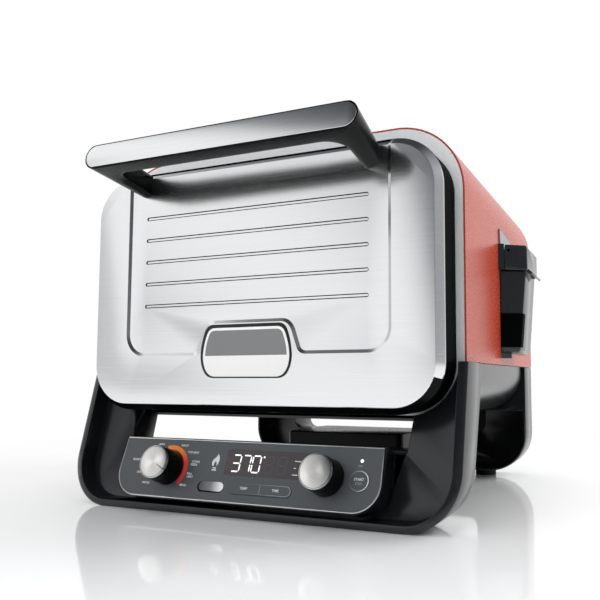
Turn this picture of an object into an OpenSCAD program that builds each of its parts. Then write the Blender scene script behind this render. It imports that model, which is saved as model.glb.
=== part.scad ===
// Countertop outdoor oven with a drop-down door, a raked stand, a control console and a side smoke box.
// Working axes: X across the front, Y from the door's face to the back, Z up from the table.

/* [Cabinet] */
// Outer width of the casing
cab_w = 417; // [400:1:440]
// Height of the casing's top above the table
cab_top = 379; // [366:1:410]
// Depth of the casing from the bezel's face to its rear edge
cab_d = 366; // [350:1:420]
// Corner radius of the casing, seen from the front
cab_r = 68; // [50:1:74]
// Sheet thickness of the casing
casing_t = 1.5; // [1:0.1:2.5]
// Height of the casing's lower edge above the table
casing_low = 148; // [146:1:156]
// Thickness of the bezel plate
bezel_t = 1.5; // [1:0.1:2]
// Height of the tub's underside above the table
tub_low = 92; // [88:0.5:94]
// Wall thickness of the tub
tub_t = 2.5; // [1.5:0.1:3]
// Step in from the casing's side to the tub's side
tub_step = 4; // [3:0.5:6]
// Corner radius of the tub's underside
tub_r = 48; // [40:1:50]

/* [Door] */
// Thickness of the closed door
door_d = 43; // [41:0.5:48]
// Gap between the door's frame and the bezel
gasket_gap = 3; // [2:0.5:4]
// Width of bezel that shows beside the door
bezel_show = 9; // [8:0.5:12]
// Height of the door's lower edge above the table
door_low = 99.5; // [99:0.5:101]
// Drop of the door's upper edge below the casing's top
door_drop = 25; // [20:1:30]
// Corner radius of the door's frame
door_r = 48; // [40:1:52]
// Width of the bevel round the door's face
bevel_w = 7; // [5:0.5:9]
// Depth of the bevel round the door's face
bevel_d = 8; // [6:0.5:10]
// Sheet thickness of the door's skin
skin_t = 2; // [1.6:0.1:2.4]
// Depth of the grooves pressed in the skin
press_d = 1.2; // [0.6:0.1:1.4]
// Length of a pressed slat
slat_l = 258; // [200:1:270]
// Height of a pressed slat
slat_h = 3.5; // [2:0.1:5]
// Distance from one slat to the next
slat_pitch = 23.6; // [18:0.2:25]
// Drop of the top slat below the top of the door's face
slat_drop = 44; // [42:1:50]
// Number of slats
slat_n = 5; // [3:1:6]
// Distance between the two upright channels
channel_w = 300; // [290:1:320]
// Width of the pressed channel
channel_t = 4.5; // [3:0.1:6]
// Height of the channel's level run above the foot of the door's face
channel_up = 51; // [45:1:56]
// Bend radius of the channel's lower corners
channel_r = 22; // [14:1:30]
// Width of the badge plate
badge_w = 102; // [80:1:104]
// Height of the badge plate
badge_h = 53; // [40:1:54]
// Height of the badge above the foot of the door's face
badge_up = 27; // [20:1:30]
// Thickness of the badge plate
badge_t = 1.6; // [1:0.1:3]
// Gap between the badge and the channel that runs round it
badge_gap = 3; // [2:0.5:6]
// Wall of the door's frame beside its opening
rail_w = 31; // [29:0.5:34]
// Height of the frame's lower rail
rail_low = 28.5; // [28:0.5:34]
// Height of the frame's upper rail
rail_top = 22; // [20:0.5:26]
// Width of the gasket
gasket_w = 10; // [8:0.5:11]

/* [Handle] */
// Length of the handle
handle_l = 297; // [270:1:310]
// Height of the handle's bar
handle_h = 22.7; // [18:0.1:26]
// Reach of the handle in front of the door
handle_reach = 68; // [56:1:76]
// Drop of the handle's face below the door's upper edge
handle_drop = 3; // [1:0.5:8]
// Fall of the arms towards the door, in degrees
handle_tilt = 10; // [5:0.5:12]
// Depth of the bar from front to back
bar_d = 20; // [16:0.5:26]
// Width of an arm where it meets the door
arm_w = 16; // [13:0.5:20]
// Draw-in of each arm's outer side from the bar to the door
arm_in = 8.5; // [4:0.5:12]
// Fillet between bar and arm
arm_fillet = 18; // [8:1:22]
// Thickness of the brushed face plate
plate_t = 1.2; // [0.8:0.1:2]
// Rim of the handle's body that shows round the plate
plate_rim = 1.3; // [0.8:0.1:3]

/* [Hinge] */
// Distance of the hinge axis behind the door's face
hinge_y = 20; // [19.5:0.5:21]
// Height of the hinge axis above the table
hinge_z = 108; // [107.5:0.5:109]
// Distance of each hinge from the middle
hinge_x = 153; // [140:1:158]
// Radius of the hinge pin
pin_r = 2.5; // [2:0.1:3]
// Length of the hinge pin
pin_l = 34; // [26:1:38]
// Thickness of the hinge bracket
bracket_t = 6; // [4:0.5:8]
// Radius of the bracket's eye
eye_r = 6.5; // [5:0.1:7]

/* [Stand] */
// How far the front frame stands out beside the casing
frame_out = 6.5; // [5:0.5:10]
// Height of the frames' underside above the table at the front
frame_low = 2; // [1.5:0.5:4]
// Height of the rear frame's underside above the table
rear_low = 8; // [6:0.5:10]
// Radius of the frames' lower corners
frame_r = 50; // [40:1:54]
// Rake of the front frame, in degrees from upright
frame_rake = 13; // [11:0.5:14]
// Place of the front frame's foot, in front of the door's face
frame_foot = 10.4; // [8:0.2:12]
// Depth of the recess in the front frame
recess_d = 20; // [19:0.5:23]
// Width of the rim round the recess
rim_w = 9; // [7:0.5:10]
// Wall thickness of the frames
frame_t = 3; // [2:0.1:4]
// Depth of the front frame's cheek at its top, behind the bezel
cheek_d = 34; // [24:1:44]
// Half the width of the window between the legs
window_hw = 162; // [158:1:166]
// Depth of the rear frame
rear_d = 52; // [40:1:60]
// Half the width of the rear frame's window
rear_hw = 150; // [130:1:160]
// Height of the rear window's sill above the table
sill_z = 57; // [50:1:64]
// Radius of a foot
foot_r = 13; // [10:0.5:16]
// Distance of the feet from the middle
foot_x = 148; // [130:1:150]

/* [Console] */
// Width of the control fascia
fascia_w = 289; // [284:1:292]
// Height of the control fascia along its slope
fascia_h = 57; // [56:0.5:58]
// Radius of the fascia's lower corners
fascia_r = 25; // [16:1:27]
// Lean of the fascia, in degrees from upright
fascia_tilt = 20.6; // [19:0.2:22]
// Height of the fascia's upper edge above the table
fascia_z = 70; // [69:0.5:71]
// Place of the fascia's upper edge behind the door's face
fascia_y = 1; // [0:0.5:2]
// Thickness of the fascia
fascia_t = 2; // [1.5:0.1:3]
// Width of the silver trim round the fascia
trim_w = 1.3; // [0.8:0.1:2]
// Depth of the console behind the fascia
console_d = 29; // [26:0.5:30]
// Wall thickness of the console
console_t = 2.5; // [2:0.1:3]
// Place of the function knob across the fascia
knob_a = -84.5; // [-90:0.5:-80]
// Place of the setting knob across the fascia
knob_b = 92.1; // [90:0.1:96]
// Drop of the knobs below the fascia's upper edge
knob_drop = 28.6; // [26:0.1:32]
// Diameter of a knob
knob_dia = 33; // [28:0.5:35]
// Flare of a knob's foot beyond its radius
knob_flare = 1.2; // [0:0.1:2]
// Height of a knob above the fascia
knob_h = 25; // [18:0.5:27]
// Thickness of the metal cap on a knob
cap_t = 2.5; // [1.5:0.1:4]
// Radius of a knob's shaft
shaft_r = 3; // [2:0.1:3.5]
// Width of the display window
display_w = 90; // [70:1:91]
// Height of the display window
display_h = 25.8; // [20:0.2:26]
// Middle of the display window across the fascia
display_x = 27; // [24:0.5:28]
// Drop of the display's upper edge below the fascia's upper edge
display_drop = 6.7; // [5:0.1:8]
// Place of the start button across the fascia
start_x = 124.8; // [123:0.2:127]
// Drop of the start button's middle below the fascia's upper edge
start_drop = 30.3; // [28:0.1:32]
// Radius of the start button
start_r = 8.8; // [7:0.1:9.4]
// Drop of the small buttons' middle below the fascia's upper edge
key_drop = 44.5; // [42:0.5:46]
// Height of the small buttons
key_h = 10; // [8:0.2:11]
// Length of the smoke button
smoke_key_l = 30; // [24:0.5:32]
// Middle of the smoke button across the fascia
smoke_key_x = -29.5; // [-32:0.5:-28]
// Length of the temperature and the time button
key_l = 33.4; // [26:0.2:34]
// Middle of the pair of temperature and time buttons across the fascia
key_x = 25.5; // [24:0.5:26]
// Stand-out of a button from the fascia
key_proud = 0.6; // [0.2:0.1:1]
// Travel of a button
key_travel = 0.8; // [0.4:0.1:1]

/* [Cavity] */
// Inner width of the oven cavity
cavity_w = 330; // [310:1:332]
// Height of the cavity's floor above the table
cavity_low = 125; // [124:0.5:130]
// Drop of the cavity's roof below the casing's top
cavity_drop = 34; // [32:1:41]
// Distance from the cavity's rear wall to the casing's rear edge
back_space = 40.5; // [38.5:0.5:50]
// Sheet thickness of the liner
liner_t = 1; // [0.8:0.1:1.5]
// Radius of a heater tube
heater_r = 3.25; // [2.5:0.05:4]
// Bend radius of a heater hairpin
heater_bend = 45; // [38:1:48]
// Clearance between a heater and the cavity's roof or floor
heater_off = 17; // [14:0.5:18]
// Clearance between the fan cover's rim and the cavity's roof
cover_off = 22; // [20:1:34]
// Depth of the fan cover
cover_d = 30; // [28:0.5:36]
// Gap between the impeller's rim and the fan cover's rim
fan_gap = 22; // [18:1:38]
// Number of impeller blades
blade_n = 8; // [5:1:12]
// Height of the rack above the cavity's floor
rack_up = 62; // [40:1:80]
// Radius of the rack's frame rods
rack_r = 2.5; // [2:0.1:3]
// Number of thin rods in the rack
rack_n = 11; // [7:2:15]

/* [Smoke box] */
// Reach of the smoke box out from the casing
smoke_reach = 27.5; // [25:0.5:29]
// Place of the smoke box's front wall at the casing, behind the door's face
smoke_front = 203; // [200:1:210]
// Length of the smoke box along the casing
smoke_l = 84; // [78:1:90]
// Draw-in of the front wall towards the outside
smoke_in = 18; // [10:1:20]
// Height of the smoke box's underside above the table
smoke_low = 161; // [158:1:166]
// Height of the smoke box's rim above the table
smoke_rim = 264; // [260:1:268]
// Height of the lid's lower edge above the table
lid_low = 252; // [249:0.5:254]
// Height of the lid's top above the table
lid_top = 286; // [285:0.5:287]
// Wall thickness of the smoke box and its lid
smoke_t = 2; // [1.5:0.1:2.2]
// Narrowing of the smoke box from its rim to its underside
smoke_taper = 4; // [2:0.5:5]
// Reach of the lip under the lid's outer edge
lip_w = 5; // [3:0.5:6]
// Radius of the lid's pins
lid_pin_r = 1.5; // [1.2:0.1:1.8]
// Radius of the smoke duct
duct_r = 18; // [14:0.5:20]
// Height of the smoke duct above the table
duct_z = 225; // [215:1:232]

/* [Hidden] */
$fn = 64;

// Clearances: between fixed neighbours, of a running pin or shaft, of a pin held fast, and past a cut face
fit = 0.3;
run = 0.05;
hold = 0.02;
past = 1;

// Cabinet
cab_hw = cab_w / 2;
cab_front = door_d + gasket_gap;
cab_back = cab_front + cab_d;
tub_hw = cab_hw - tub_step;
shell_y = cab_front + bezel_t;
bezel_hw = cab_hw - casing_t - fit;
bezel_low_edge = 2.2;

// Door
door_hw = cab_hw - bezel_show;
door_top = cab_top - door_drop;
face_hw = door_hw - bevel_w;
face_low = door_low + bevel_w;
face_top = door_top - bevel_w;
face_r = door_r - bevel_w;
opening_hw = door_hw - rail_w;
opening_low = door_low + rail_low;
opening_top = door_top - rail_top;
opening_r = 12;
seal_in = 10;
seal_hw = opening_hw + seal_in;
seal_low = opening_low - 0.8;
seal_top = opening_top + 8;
slot_gap = 0.7;
badge_r = 14;
wall_t = 3;
block_x = 4;

// Handle
handle_z = door_top - handle_drop;
arm_hw = handle_l / 2 - arm_in - arm_w;
arm_run = handle_reach / cos(handle_tilt) + handle_h;
foot_z = handle_z - handle_reach * tan(handle_tilt);
screw_r = 2;
screw_x = arm_hw + arm_w / 2;
screw_dz = 4;
screw_in = 14;
screw_head_r = 4;
screw_head_t = 3;
screw_z = min(foot_z - 3, face_top - skin_t - screw_head_r - screw_dz - 2 * fit);

// Stand
frame_hw = cab_hw + frame_out;
frame_top = casing_low - fit;
rim_less = 2;
rim_low = rim_w - rim_less;
cutout_gap = 2.2;
cutout_hw = door_hw + cutout_gap;
cutout_low = door_low - cutout_gap - fit;
cutout_r = door_r + 2;
frame_back = shell_y + cheek_d;
frame_mid_z = 52;
mid_step = 31;
bottom_step = 36;
frame_mid_back = frame_back - mid_step;
frame_bottom_back = frame_back - bottom_step;
rear_y0 = cab_back - 2 - rear_d;
rear_y1 = rear_y0 + rear_d;
rear_frame_hw = cab_hw;
sill_r = 12;
pan_z = rear_low + frame_t + fit;
pan_t = 2.5;
pan_hw = 146;
pan_y0 = 24;
ledge_y0 = 22;
ledge_y1 = 42;
cover_x0 = 14;
cover_x1 = 140;
cover_y0 = 58;
cover_y1 = 150;
cover_top = fascia_z + 2;
cover_t = 2;
cover_rad = 6;
board_gap = 3.5;
board_edge = 5;
stud_in = 12;
stud_r = 3;
coil = [34, 28, 26];
relay = [16, 20, 20];
part_in = 14;
part_step = 8;
relay_x = cover_x0 + part_in + coil[0] + part_step;

// Console, in the fascia's own axes: x across, y up the slope from its upper edge, z out of the fascia
fascia_hw = fascia_w / 2;
console_edge = 0.7;
wall_z = -fascia_t;
wall_back = wall_z - console_t;
board_z = wall_back - 7.5;
board_t = 1.6;
board_h = 42;
board_in = 14;
post_in = 34;
post_r = 2.5;
board_drop = 6;
encoder_w = 14;
encoder_h = 6.5;
bush_r = shaft_r + 1.5;
knob_gap = 0.5;
knob_cup_r = bush_r + 3;
knob_cup_h = 8;
switch_w = 6;
switch_h = 1.8;
led_r = 1.5;
led_drop = 11.9;

// Cavity
cavity_hw = cavity_w / 2;
cavity_top = cab_top - cavity_drop;
cavity_back = cab_back - back_space;
cavity_r = 8;
cavity_mid = (cavity_low + cavity_top) / 2;
cover_r = (cavity_top - cavity_low) / 2 - cover_off;
fan_r = cover_r - fan_gap;
flange_w = 18;
flange_low = hinge_z + eye_r + 3.5;
heater_in = 34;
heater_front = cab_front + heater_in;
heater_gap = 80;
heater_xs = [-heater_bend - heater_gap / 2, heater_bend + heater_gap / 2];
heater_tail = 9;
fan_shaft_r = 3;
motor_r = 31;
motor_d = 24;
motor_plate_t = 1.8;
motor_ears = 40;
motor_ear_h = 36;
rack_z = cavity_low + rack_up;
rack_step = 52;
rail_t = 3;
rail_reach = 7;
probe_in = 40;
probe_l = 28;
probe_drop = 50;
probe_z = cavity_top - probe_drop;
probe_r = 2.5;
wool_gap = 4;
wool_y = shell_y + 5;
wool_hw = tub_hw - tub_t - past;
wool_r = tub_r - 14;
wool_top = cab_top - casing_t - wool_gap;
panel_y = cab_back - 8;
panel_t = 1.5;
vent_x = 120;
vent_l = 70;
vent_h = 5;
vent_pitch = 16;
vent_n = 8;
back_screw_in = 14;
back_screw_up = 12;
back_screw_drop = 60;
hood_w = 130;
hood_h = 34;
hood_d = 13;
hood_drop = 6;
hood_z = cavity_top - hood_drop;
hood_slot = 10;
hood_pitch = 16;
gland_r = 11;
gland_d = 10;
gland_x = 110;
gland_z = 34;

// Smoke box
bracket_sheet = 1.5;
plate_x = cab_hw + bracket_sheet;
smoke_x0 = plate_x + fit;
smoke_x1 = cab_hw + smoke_reach;
smoke_back = smoke_front + smoke_l;
lid_grow = 4;
lid_x0 = plate_x + 5;
lid_x1 = smoke_x1 + 4;
lip_x1 = lid_x1 + lip_w;
lid_axis_out = 9;
lid_axis_x = plate_x + lid_axis_out;
lid_axis_drop = 7;
lid_axis_z = lid_top - lid_axis_drop;
ear_r = 3.5;
ear_w = 4;
ear_in = 4;
bracket_side = 4;
bracket_step = 2;
bracket_up = 19;
basket_up = 21;
basket_z = smoke_low + smoke_t + basket_up;
basket_t = 1.2;
duct_back = 49;
duct_y = smoke_front + duct_back;
duct_t = 1.5;
igniter_up = 14;
igniter_z = smoke_low + igniter_up;
igniter_r = 4;
igniter_in = 20;

// Overall box, whose middle is the part's origin
mid_x = (lip_x1 - frame_hw) / 2;
back_reach = rear_y1 + gland_d;
front_reach = handle_reach + handle_h / 2 * sin(handle_tilt);
mid_y = (back_reach - front_reach) / 2;

// Stands a front-view outline (x, z) up and runs it from y0 to y1
module front_prism(y0, y1) {
    translate([0, y1, 0])
        rotate([90, 0, 0])
            linear_extrude(y1 - y0) children();
}

// Stands a side-view outline (y, z) up and runs it from x0 to x1
module side_prism(x0, x1) {
    translate([x0, 0, 0])
        rotate([90, 0, 90])
            linear_extrude(x1 - x0) children();
}

// Runs a plan outline (x, y) from z0 to z1
module plan_prism(z0, z1) {
    translate([0, 0, z0])
        linear_extrude(z1 - z0) children();
}

// Box between two corners
module box(a, b) {
    translate(a) cube(b - a);
}

// Round bar along X, Y or Z between two places
module bar_x(x0, x1, y, z, r) {
    translate([x0, y, z]) rotate([0, 90, 0]) cylinder(h = x1 - x0, r = r);
}

module bar_y(x, y0, y1, z, r) {
    translate([x, y0, z]) rotate([-90, 0, 0]) cylinder(h = y1 - y0, r = r);
}

// Upright outline, centred across, with its own lower and upper corner radii
module outline(hw, z0, z1, r_low, r_top) {
    mid = (z0 + r_low + z1 - r_top) / 2;
    intersection() {
        translate([-hw, z0]) square([2 * hw, z1 - z0]);
        union() {
            translate([-hw, z0 + r_low]) square([2 * hw, z1 - r_top - z0 - r_low]);
            translate([-hw + r_low, z0]) square([2 * (hw - r_low), mid - z0]);
            translate([-hw + r_top, mid]) square([2 * (hw - r_top), z1 - mid]);
            for (s = [-1, 1]) {
                if (r_low > 0) translate([s * (hw - r_low), z0 + r_low]) circle(r_low);
                if (r_top > 0) translate([s * (hw - r_top), z1 - r_top]) circle(r_top);
            }
        }
    }
}

// Level bar outline with round ends
module pill(l, h) {
    square([l - h, h], center = true);
    for (s = [-1, 1]) translate([s * (l - h) / 2, 0]) circle(h / 2);
}

// Block whose face outline grows by g over its depth d
module bevel_block(hw, z0, z1, r, y0, d, g) {
    side_prism(-(hw - r), hw - r)
        polygon([[y0, z0], [y0, z1], [y0 + d, z1 + g], [y0 + d, z0 - g]]);
    plan_prism(z0 + r, z1 - r)
        polygon([[-hw, y0], [hw, y0], [hw + g, y0 + d], [-hw - g, y0 + d]]);
    for (sx = [-1, 1], z = [z0 + r, z1 - r])
        translate([sx * (hw - r), y0, z]) rotate([-90, 0, 0]) cylinder(h = d, r1 = r, r2 = r + g);
}

// Places its children in the fascia's own axes
module on_fascia() {
    translate([0, fascia_y, fascia_z]) rotate([90 - fascia_tilt, 0, 0]) children();
}

// Fascia outline, grown evenly by g, square above and round below
module fascia_outline(g) {
    outline(fascia_hw + g, -fascia_h - g, g, fascia_r + g, 0);
}

// Moves the working axes so that the middle of the overall box is the origin
module placed() {
    translate([-mid_x, -mid_y, 0]) children();
}

// Front-view outlines shared by the cabinet's shells
module casing_outline(in) {
    outline(cab_hw - in, casing_low, cab_top - in, 0, cab_r - in);
}

module tub_outline(in) {
    outline(tub_hw - in, tub_low + in, casing_low, tub_r - in, 0);
}

// Cabinet shells

module outer_casing() {
    color("#c4705f")
        difference() {
            front_prism(cab_front, cab_back) casing_outline(0);
            translate([0, 0, -past]) front_prism(cab_front - past, cab_back + past)
                outline(cab_hw - casing_t, casing_low, cab_top - casing_t + past, 0, cab_r - casing_t);
            bar_x(0, cab_hw + past, duct_y, duct_z, duct_r + fit);
            bar_x(0, cab_hw + past, duct_y, igniter_z, igniter_r + fit);
        }
}

module front_bezel() {
    color("#b9bcbd")
        difference() {
            front_prism(cab_front, shell_y) {
                outline(bezel_hw, casing_low, cab_top - casing_t - fit, 0, cab_r - casing_t - fit);
                outline(cutout_hw - fit, door_low - bezel_low_edge, casing_low + past, door_r + 2, 0);
            }
            front_prism(cab_front - past, shell_y + past)
                outline(cavity_hw, cavity_low, cavity_top, cavity_r, cavity_r);
            for (s = [-1, 1])
                box([s * hinge_x - bracket_t / 2 - fit, cab_front - past, hinge_z - eye_r - fit],
                    [s * hinge_x + bracket_t / 2 + fit, shell_y + past, hinge_z + eye_r + fit]);
        }
}

module lower_tub() {
    color("#3c3e40")
        difference() {
            front_prism(shell_y, panel_y + panel_t) tub_outline(0);
            translate([0, 0, past]) front_prism(shell_y - past, panel_y + panel_t + past)
                outline(tub_hw - tub_t, tub_low + tub_t - past, casing_low, tub_r - tub_t, 0);
        }
}

// Slots of the rear vents, in rows on both sides of the fan's motor
module vent_slots() {
    for (s = [-1, 1], i = [0 : vent_n - 1])
        translate([s * vent_x, cavity_mid + vent_pitch * (i - (vent_n - 1) / 2)]) pill(vent_l, vent_h);
}

module rear_panel() {
    color("#2c2d2f")
        difference() {
            front_prism(panel_y, panel_y + panel_t)
                difference() {
                    union() {
                        outline(cab_hw - casing_t - fit, casing_low, cab_top - casing_t - fit, 0,
                            cab_r - casing_t - fit);
                        outline(tub_hw - tub_t - fit, tub_low + tub_t + fit, casing_low + past,
                            tub_r - tub_t - fit, 0);
                    }
                    vent_slots();
                    translate([0, hood_z]) pill(hood_w - hood_h, hood_h / 2);
                }
            for (p = rear_screw_spots())
                bar_y(p[0], panel_y - past, panel_y + panel_t + past, p[1], screw_r + hold);
        }
}

// Places of the rear screws (x, z)
function rear_screw_spots() = [
    for (s = [-1, 1], z = [casing_low + back_screw_up, cavity_mid, cab_top - back_screw_drop])
        [s * (cab_hw - back_screw_in), z]
];

module rear_screws() {
    color("#8d9092")
        for (p = rear_screw_spots()) {
            bar_y(p[0], panel_y - 4 * screw_r, panel_y + panel_t, p[1], screw_r);
            bar_y(p[0], panel_y + panel_t, panel_y + panel_t + screw_head_t, p[1], screw_head_r);
        }
}

module exhaust_hood() {
    color("#1f2021")
        difference() {
            front_prism(panel_y + panel_t, panel_y + panel_t + hood_d)
                translate([0, hood_z - hood_h / 2])
                    outline(hood_w / 2, 0, hood_h, 2 * frame_t, 2 * frame_t);
            front_prism(panel_y, panel_y + panel_t + hood_d - frame_t)
                translate([0, hood_z - hood_h / 2 + frame_t])
                    outline(hood_w / 2 - frame_t, 0, hood_h - 2 * frame_t, frame_t, frame_t);
            for (i = [-3 : 3])
                translate([hood_pitch * i - hood_slot / 2, panel_y + hood_d / 2, hood_z - hood_h / 3])
                    cube([hood_slot, hood_d, hood_h * 2 / 3]);
        }
}

// Oven cavity

module cavity_outline(g) {
    outline(cavity_hw + g, cavity_low - g, cavity_top + g, cavity_r + g, cavity_r + g);
}

module cavity_liner() {
    color("#55585a")
        difference() {
            union() {
                front_prism(shell_y, cavity_back + liner_t) cavity_outline(liner_t);
                front_prism(shell_y, shell_y + liner_t)
                    outline(cavity_hw + flange_w, flange_low, cavity_top + flange_w, cavity_r,
                        cavity_r + flange_w);
            }
            front_prism(shell_y - past, cavity_back) cavity_outline(0);
            bar_x(0, cavity_hw + 2 * liner_t + past, duct_y, duct_z, duct_r + fit);
            for (p = heater_ends(), z = heater_zs())
                bar_y(p, cavity_back - past, cavity_back + liner_t + past, z, heater_r + fit);
            bar_y(0, cavity_back - past, cavity_back + liner_t + past, cavity_mid, fan_shaft_r + past);
            bar_y(cavity_hw - probe_in, cavity_back - past, cavity_back + liner_t + past, probe_z,
                probe_r + fit);
        }
}

function heater_zs() = [cavity_low + heater_off, cavity_top - heater_off];
function heater_ends() = [for (x = heater_xs, s = [-1, 1]) x + s * heater_bend];

// Hairpin of heater tube, bent round at the front, its tails through the rear wall
module hairpin(x, z) {
    bend_y = heater_front + heater_bend;
    for (s = [-1, 1])
        bar_y(x + s * heater_bend, bend_y, cavity_back + heater_tail, z, heater_r);
    translate([x, bend_y, z]) rotate([0, 0, 180])
        rotate_extrude(angle = 180) translate([heater_bend, 0]) circle(heater_r);
}

module upper_heater() {
    color("#7a4a3c") for (x = heater_xs) hairpin(x, heater_zs()[1]);
}

module lower_heater() {
    color("#7a4a3c") for (x = heater_xs) hairpin(x, heater_zs()[0]);
}

module fan_cover() {
    color("#6a6d6f")
        difference() {
            bar_y(0, cavity_back - cover_d, cavity_back, cavity_mid, cover_r);
            bar_y(0, cavity_back - cover_d + liner_t, cavity_back + past, cavity_mid, cover_r - liner_t);
            for (i = [-3 : 3])
                translate([0, 0, cavity_mid + 18 * i])
                    front_prism(cavity_back - cover_d - past, cavity_back - cover_d + liner_t + past)
                        pill(2 * sqrt(pow(cover_r - 12, 2) - pow(18 * i, 2)), 7);
            for (a = [0 : 30 : 330])
                translate([0, 0, cavity_mid]) rotate([0, a, 0])
                    box([cover_r - 8, cavity_back - 14, -9], [cover_r + past, cavity_back - 8, 9]);
        }
}

module fan_motor() {
    y0 = cavity_back + liner_t;
    color("#9a9da0")
        difference() {
            union() {
                bar_y(0, y0 + motor_plate_t, y0 + motor_d, cavity_mid, motor_r);
                front_prism(y0, y0 + motor_plate_t)
                    translate([0, cavity_mid]) pill(2 * motor_r + motor_ears, motor_ear_h);
            }
            bar_y(0, cavity_back, y0 + motor_d - 3, cavity_mid, fan_shaft_r + run);
        }
}

module fan_impeller() {
    hub_y0 = cavity_back - 19;
    hub_y1 = cavity_back - 5;
    color("#b0b3b5") {
        bar_y(0, hub_y0, cavity_back + liner_t + motor_d - 6, cavity_mid, fan_shaft_r);
        bar_y(0, hub_y0, hub_y1, cavity_mid, 12);
        bar_y(0, hub_y1 - 1.5, hub_y1, cavity_mid, fan_r);
        for (i = [0 : blade_n - 1])
            translate([0, 0, cavity_mid]) rotate([0, 360 * i / blade_n, 0])
                box([10, hub_y0, -0.8], [fan_r - 1, hub_y1 - 0.5, 0.8]);
    }
}

module temperature_probe() {
    color("#c9cbcc")
        bar_y(cavity_hw - probe_in, cavity_back - probe_l, cavity_back + heater_tail, probe_z, probe_r);
}

module rack_rails() {
    color("#8b8e90")
        for (s = [-1, 1], z = [rack_z, rack_z + rack_step])
            side_rail(s, z);
}

// One ledge on the cavity's side wall, its top at height z
module side_rail(s, z) {
    x0 = min(s * cavity_hw, s * (cavity_hw - rail_reach));
    box([x0, shell_y + 10, z - rail_t], [x0 + rail_reach, cavity_back - 8, z]);
}

module wire_rack() {
    x_side = cavity_hw - rail_reach / 2 - 1;
    y0 = shell_y + 14;
    y1 = cavity_back - cover_d - 6;
    z = rack_z + rack_r;
    thin_r = rack_r * 0.6;
    color("#c8cacb") {
        for (s = [-1, 1]) bar_y(s * x_side, y0, y1, z, rack_r);
        for (y = [y0 + rack_r, y1 - rack_r]) bar_x(-x_side, x_side, y, z, rack_r);
        for (i = [1 : rack_n])
            bar_y(-x_side + 2 * x_side * i / (rack_n + 1), y0 + rack_r, y1 - rack_r, z, thin_r);
    }
}

module insulation() {
    color("#d9d3c2")
        difference() {
            front_prism(wool_y, cavity_back - 3)
                difference() {
                    outline(wool_hw, flange_low, wool_top, wool_r, cab_r - casing_t - wool_gap);
                    cavity_outline(liner_t + fit);
                }
            bar_x(0, cab_hw, duct_y, duct_z, duct_r + fit);
            bar_x(0, cab_hw, duct_y, igniter_z, igniter_r + fit);
        }
}

// Hinge

module hinge_brackets() {
    color("#77797b")
        for (s = [-1, 1])
            difference() {
                union() {
                    side_prism(s * hinge_x - bracket_t / 2, s * hinge_x + bracket_t / 2) {
                        translate([hinge_y, hinge_z]) circle(eye_r);
                        translate([hinge_y, hinge_z - eye_r]) square([shell_y + 1 - hinge_y, 2 * eye_r]);
                    }
                    box([s * hinge_x - 13, shell_y, hinge_z - eye_r - 2],
                        [s * hinge_x + 13, shell_y + 3, hinge_z + eye_r + 2]);
                }
                bar_x(s * hinge_x - bracket_t, s * hinge_x + bracket_t, hinge_y, hinge_z, pin_r + run);
            }
}

module hinge_pins() {
    color("#a9acae")
        for (s = [-1, 1])
            bar_x(s * hinge_x - pin_l / 2, s * hinge_x + pin_l / 2, hinge_y, hinge_z, pin_r);
}

// Door

// Line of the pressed channel as a region, its edge moved out by g
module channel_region(g) {
    notch = badge_gap + channel_t / 2;
    difference() {
        outline(channel_w / 2 + g, face_low + channel_up - g, door_top + past, channel_r + g, 0);
        outline(badge_w / 2 + notch - g, face_low, face_low + badge_up + badge_h + notch - g, 0, badge_r - g);
    }
}

module door_skin() {
    color("#d4d6d7")
        difference() {
            bevel_block(face_hw, face_low, face_top, face_r, 0, bevel_d, bevel_w);
            bevel_block(face_hw - skin_t, face_low + skin_t, face_top - skin_t, face_r - skin_t, skin_t,
                bevel_d - skin_t + past, bevel_w * (bevel_d - skin_t + past) / bevel_d);
            front_prism(-past, press_d) {
                for (i = [0 : slat_n - 1])
                    translate([0, face_top - slat_drop - slat_pitch * i]) pill(slat_l, slat_h);
                difference() {
                    channel_region(channel_t / 2);
                    channel_region(-channel_t / 2);
                }
            }
            for (p = handle_screw_spots()) bar_y(p[0], -past, skin_t + past, p[1], screw_r + fit);
        }
}

// Places of the handle's screws (x, z)
function handle_screw_spots() = [for (s = [-1, 1], d = [-1, 1]) [s * screw_x, screw_z + d * screw_dz]];

module door_frame() {
    color("#17181a")
        difference() {
            front_prism(bevel_d, door_d)
                difference() {
                    outline(door_hw, door_low, door_top, door_r, door_r);
                    outline(opening_hw, opening_low, opening_top, opening_r, opening_r);
                }
            difference() {
                front_prism(bevel_d - past, door_d - wall_t)
                    difference() {
                        outline(door_hw - wall_t, door_low + wall_t, door_top - wall_t, door_r - wall_t,
                            door_r - wall_t);
                        outline(opening_hw + wall_t, opening_low - wall_t, opening_top + wall_t, opening_r,
                            opening_r);
                    }
                for (s = [-1, 1])
                    box([s * hinge_x - pin_l / 2 - block_x, 0, 0],
                        [s * hinge_x + pin_l / 2 + block_x, door_d, opening_low]);
            }
            for (s = [-1, 1]) {
                box([s * hinge_x - bracket_t / 2 - 0.5, hinge_y - eye_r - slot_gap, door_low - past],
                    [s * hinge_x + bracket_t / 2 + 0.5, door_d + past, hinge_z + eye_r + slot_gap]);
                bar_x(s * hinge_x - pin_l / 2 - fit, s * hinge_x + pin_l / 2 + fit, hinge_y, hinge_z,
                    pin_r + hold);
            }
        }
}

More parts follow.
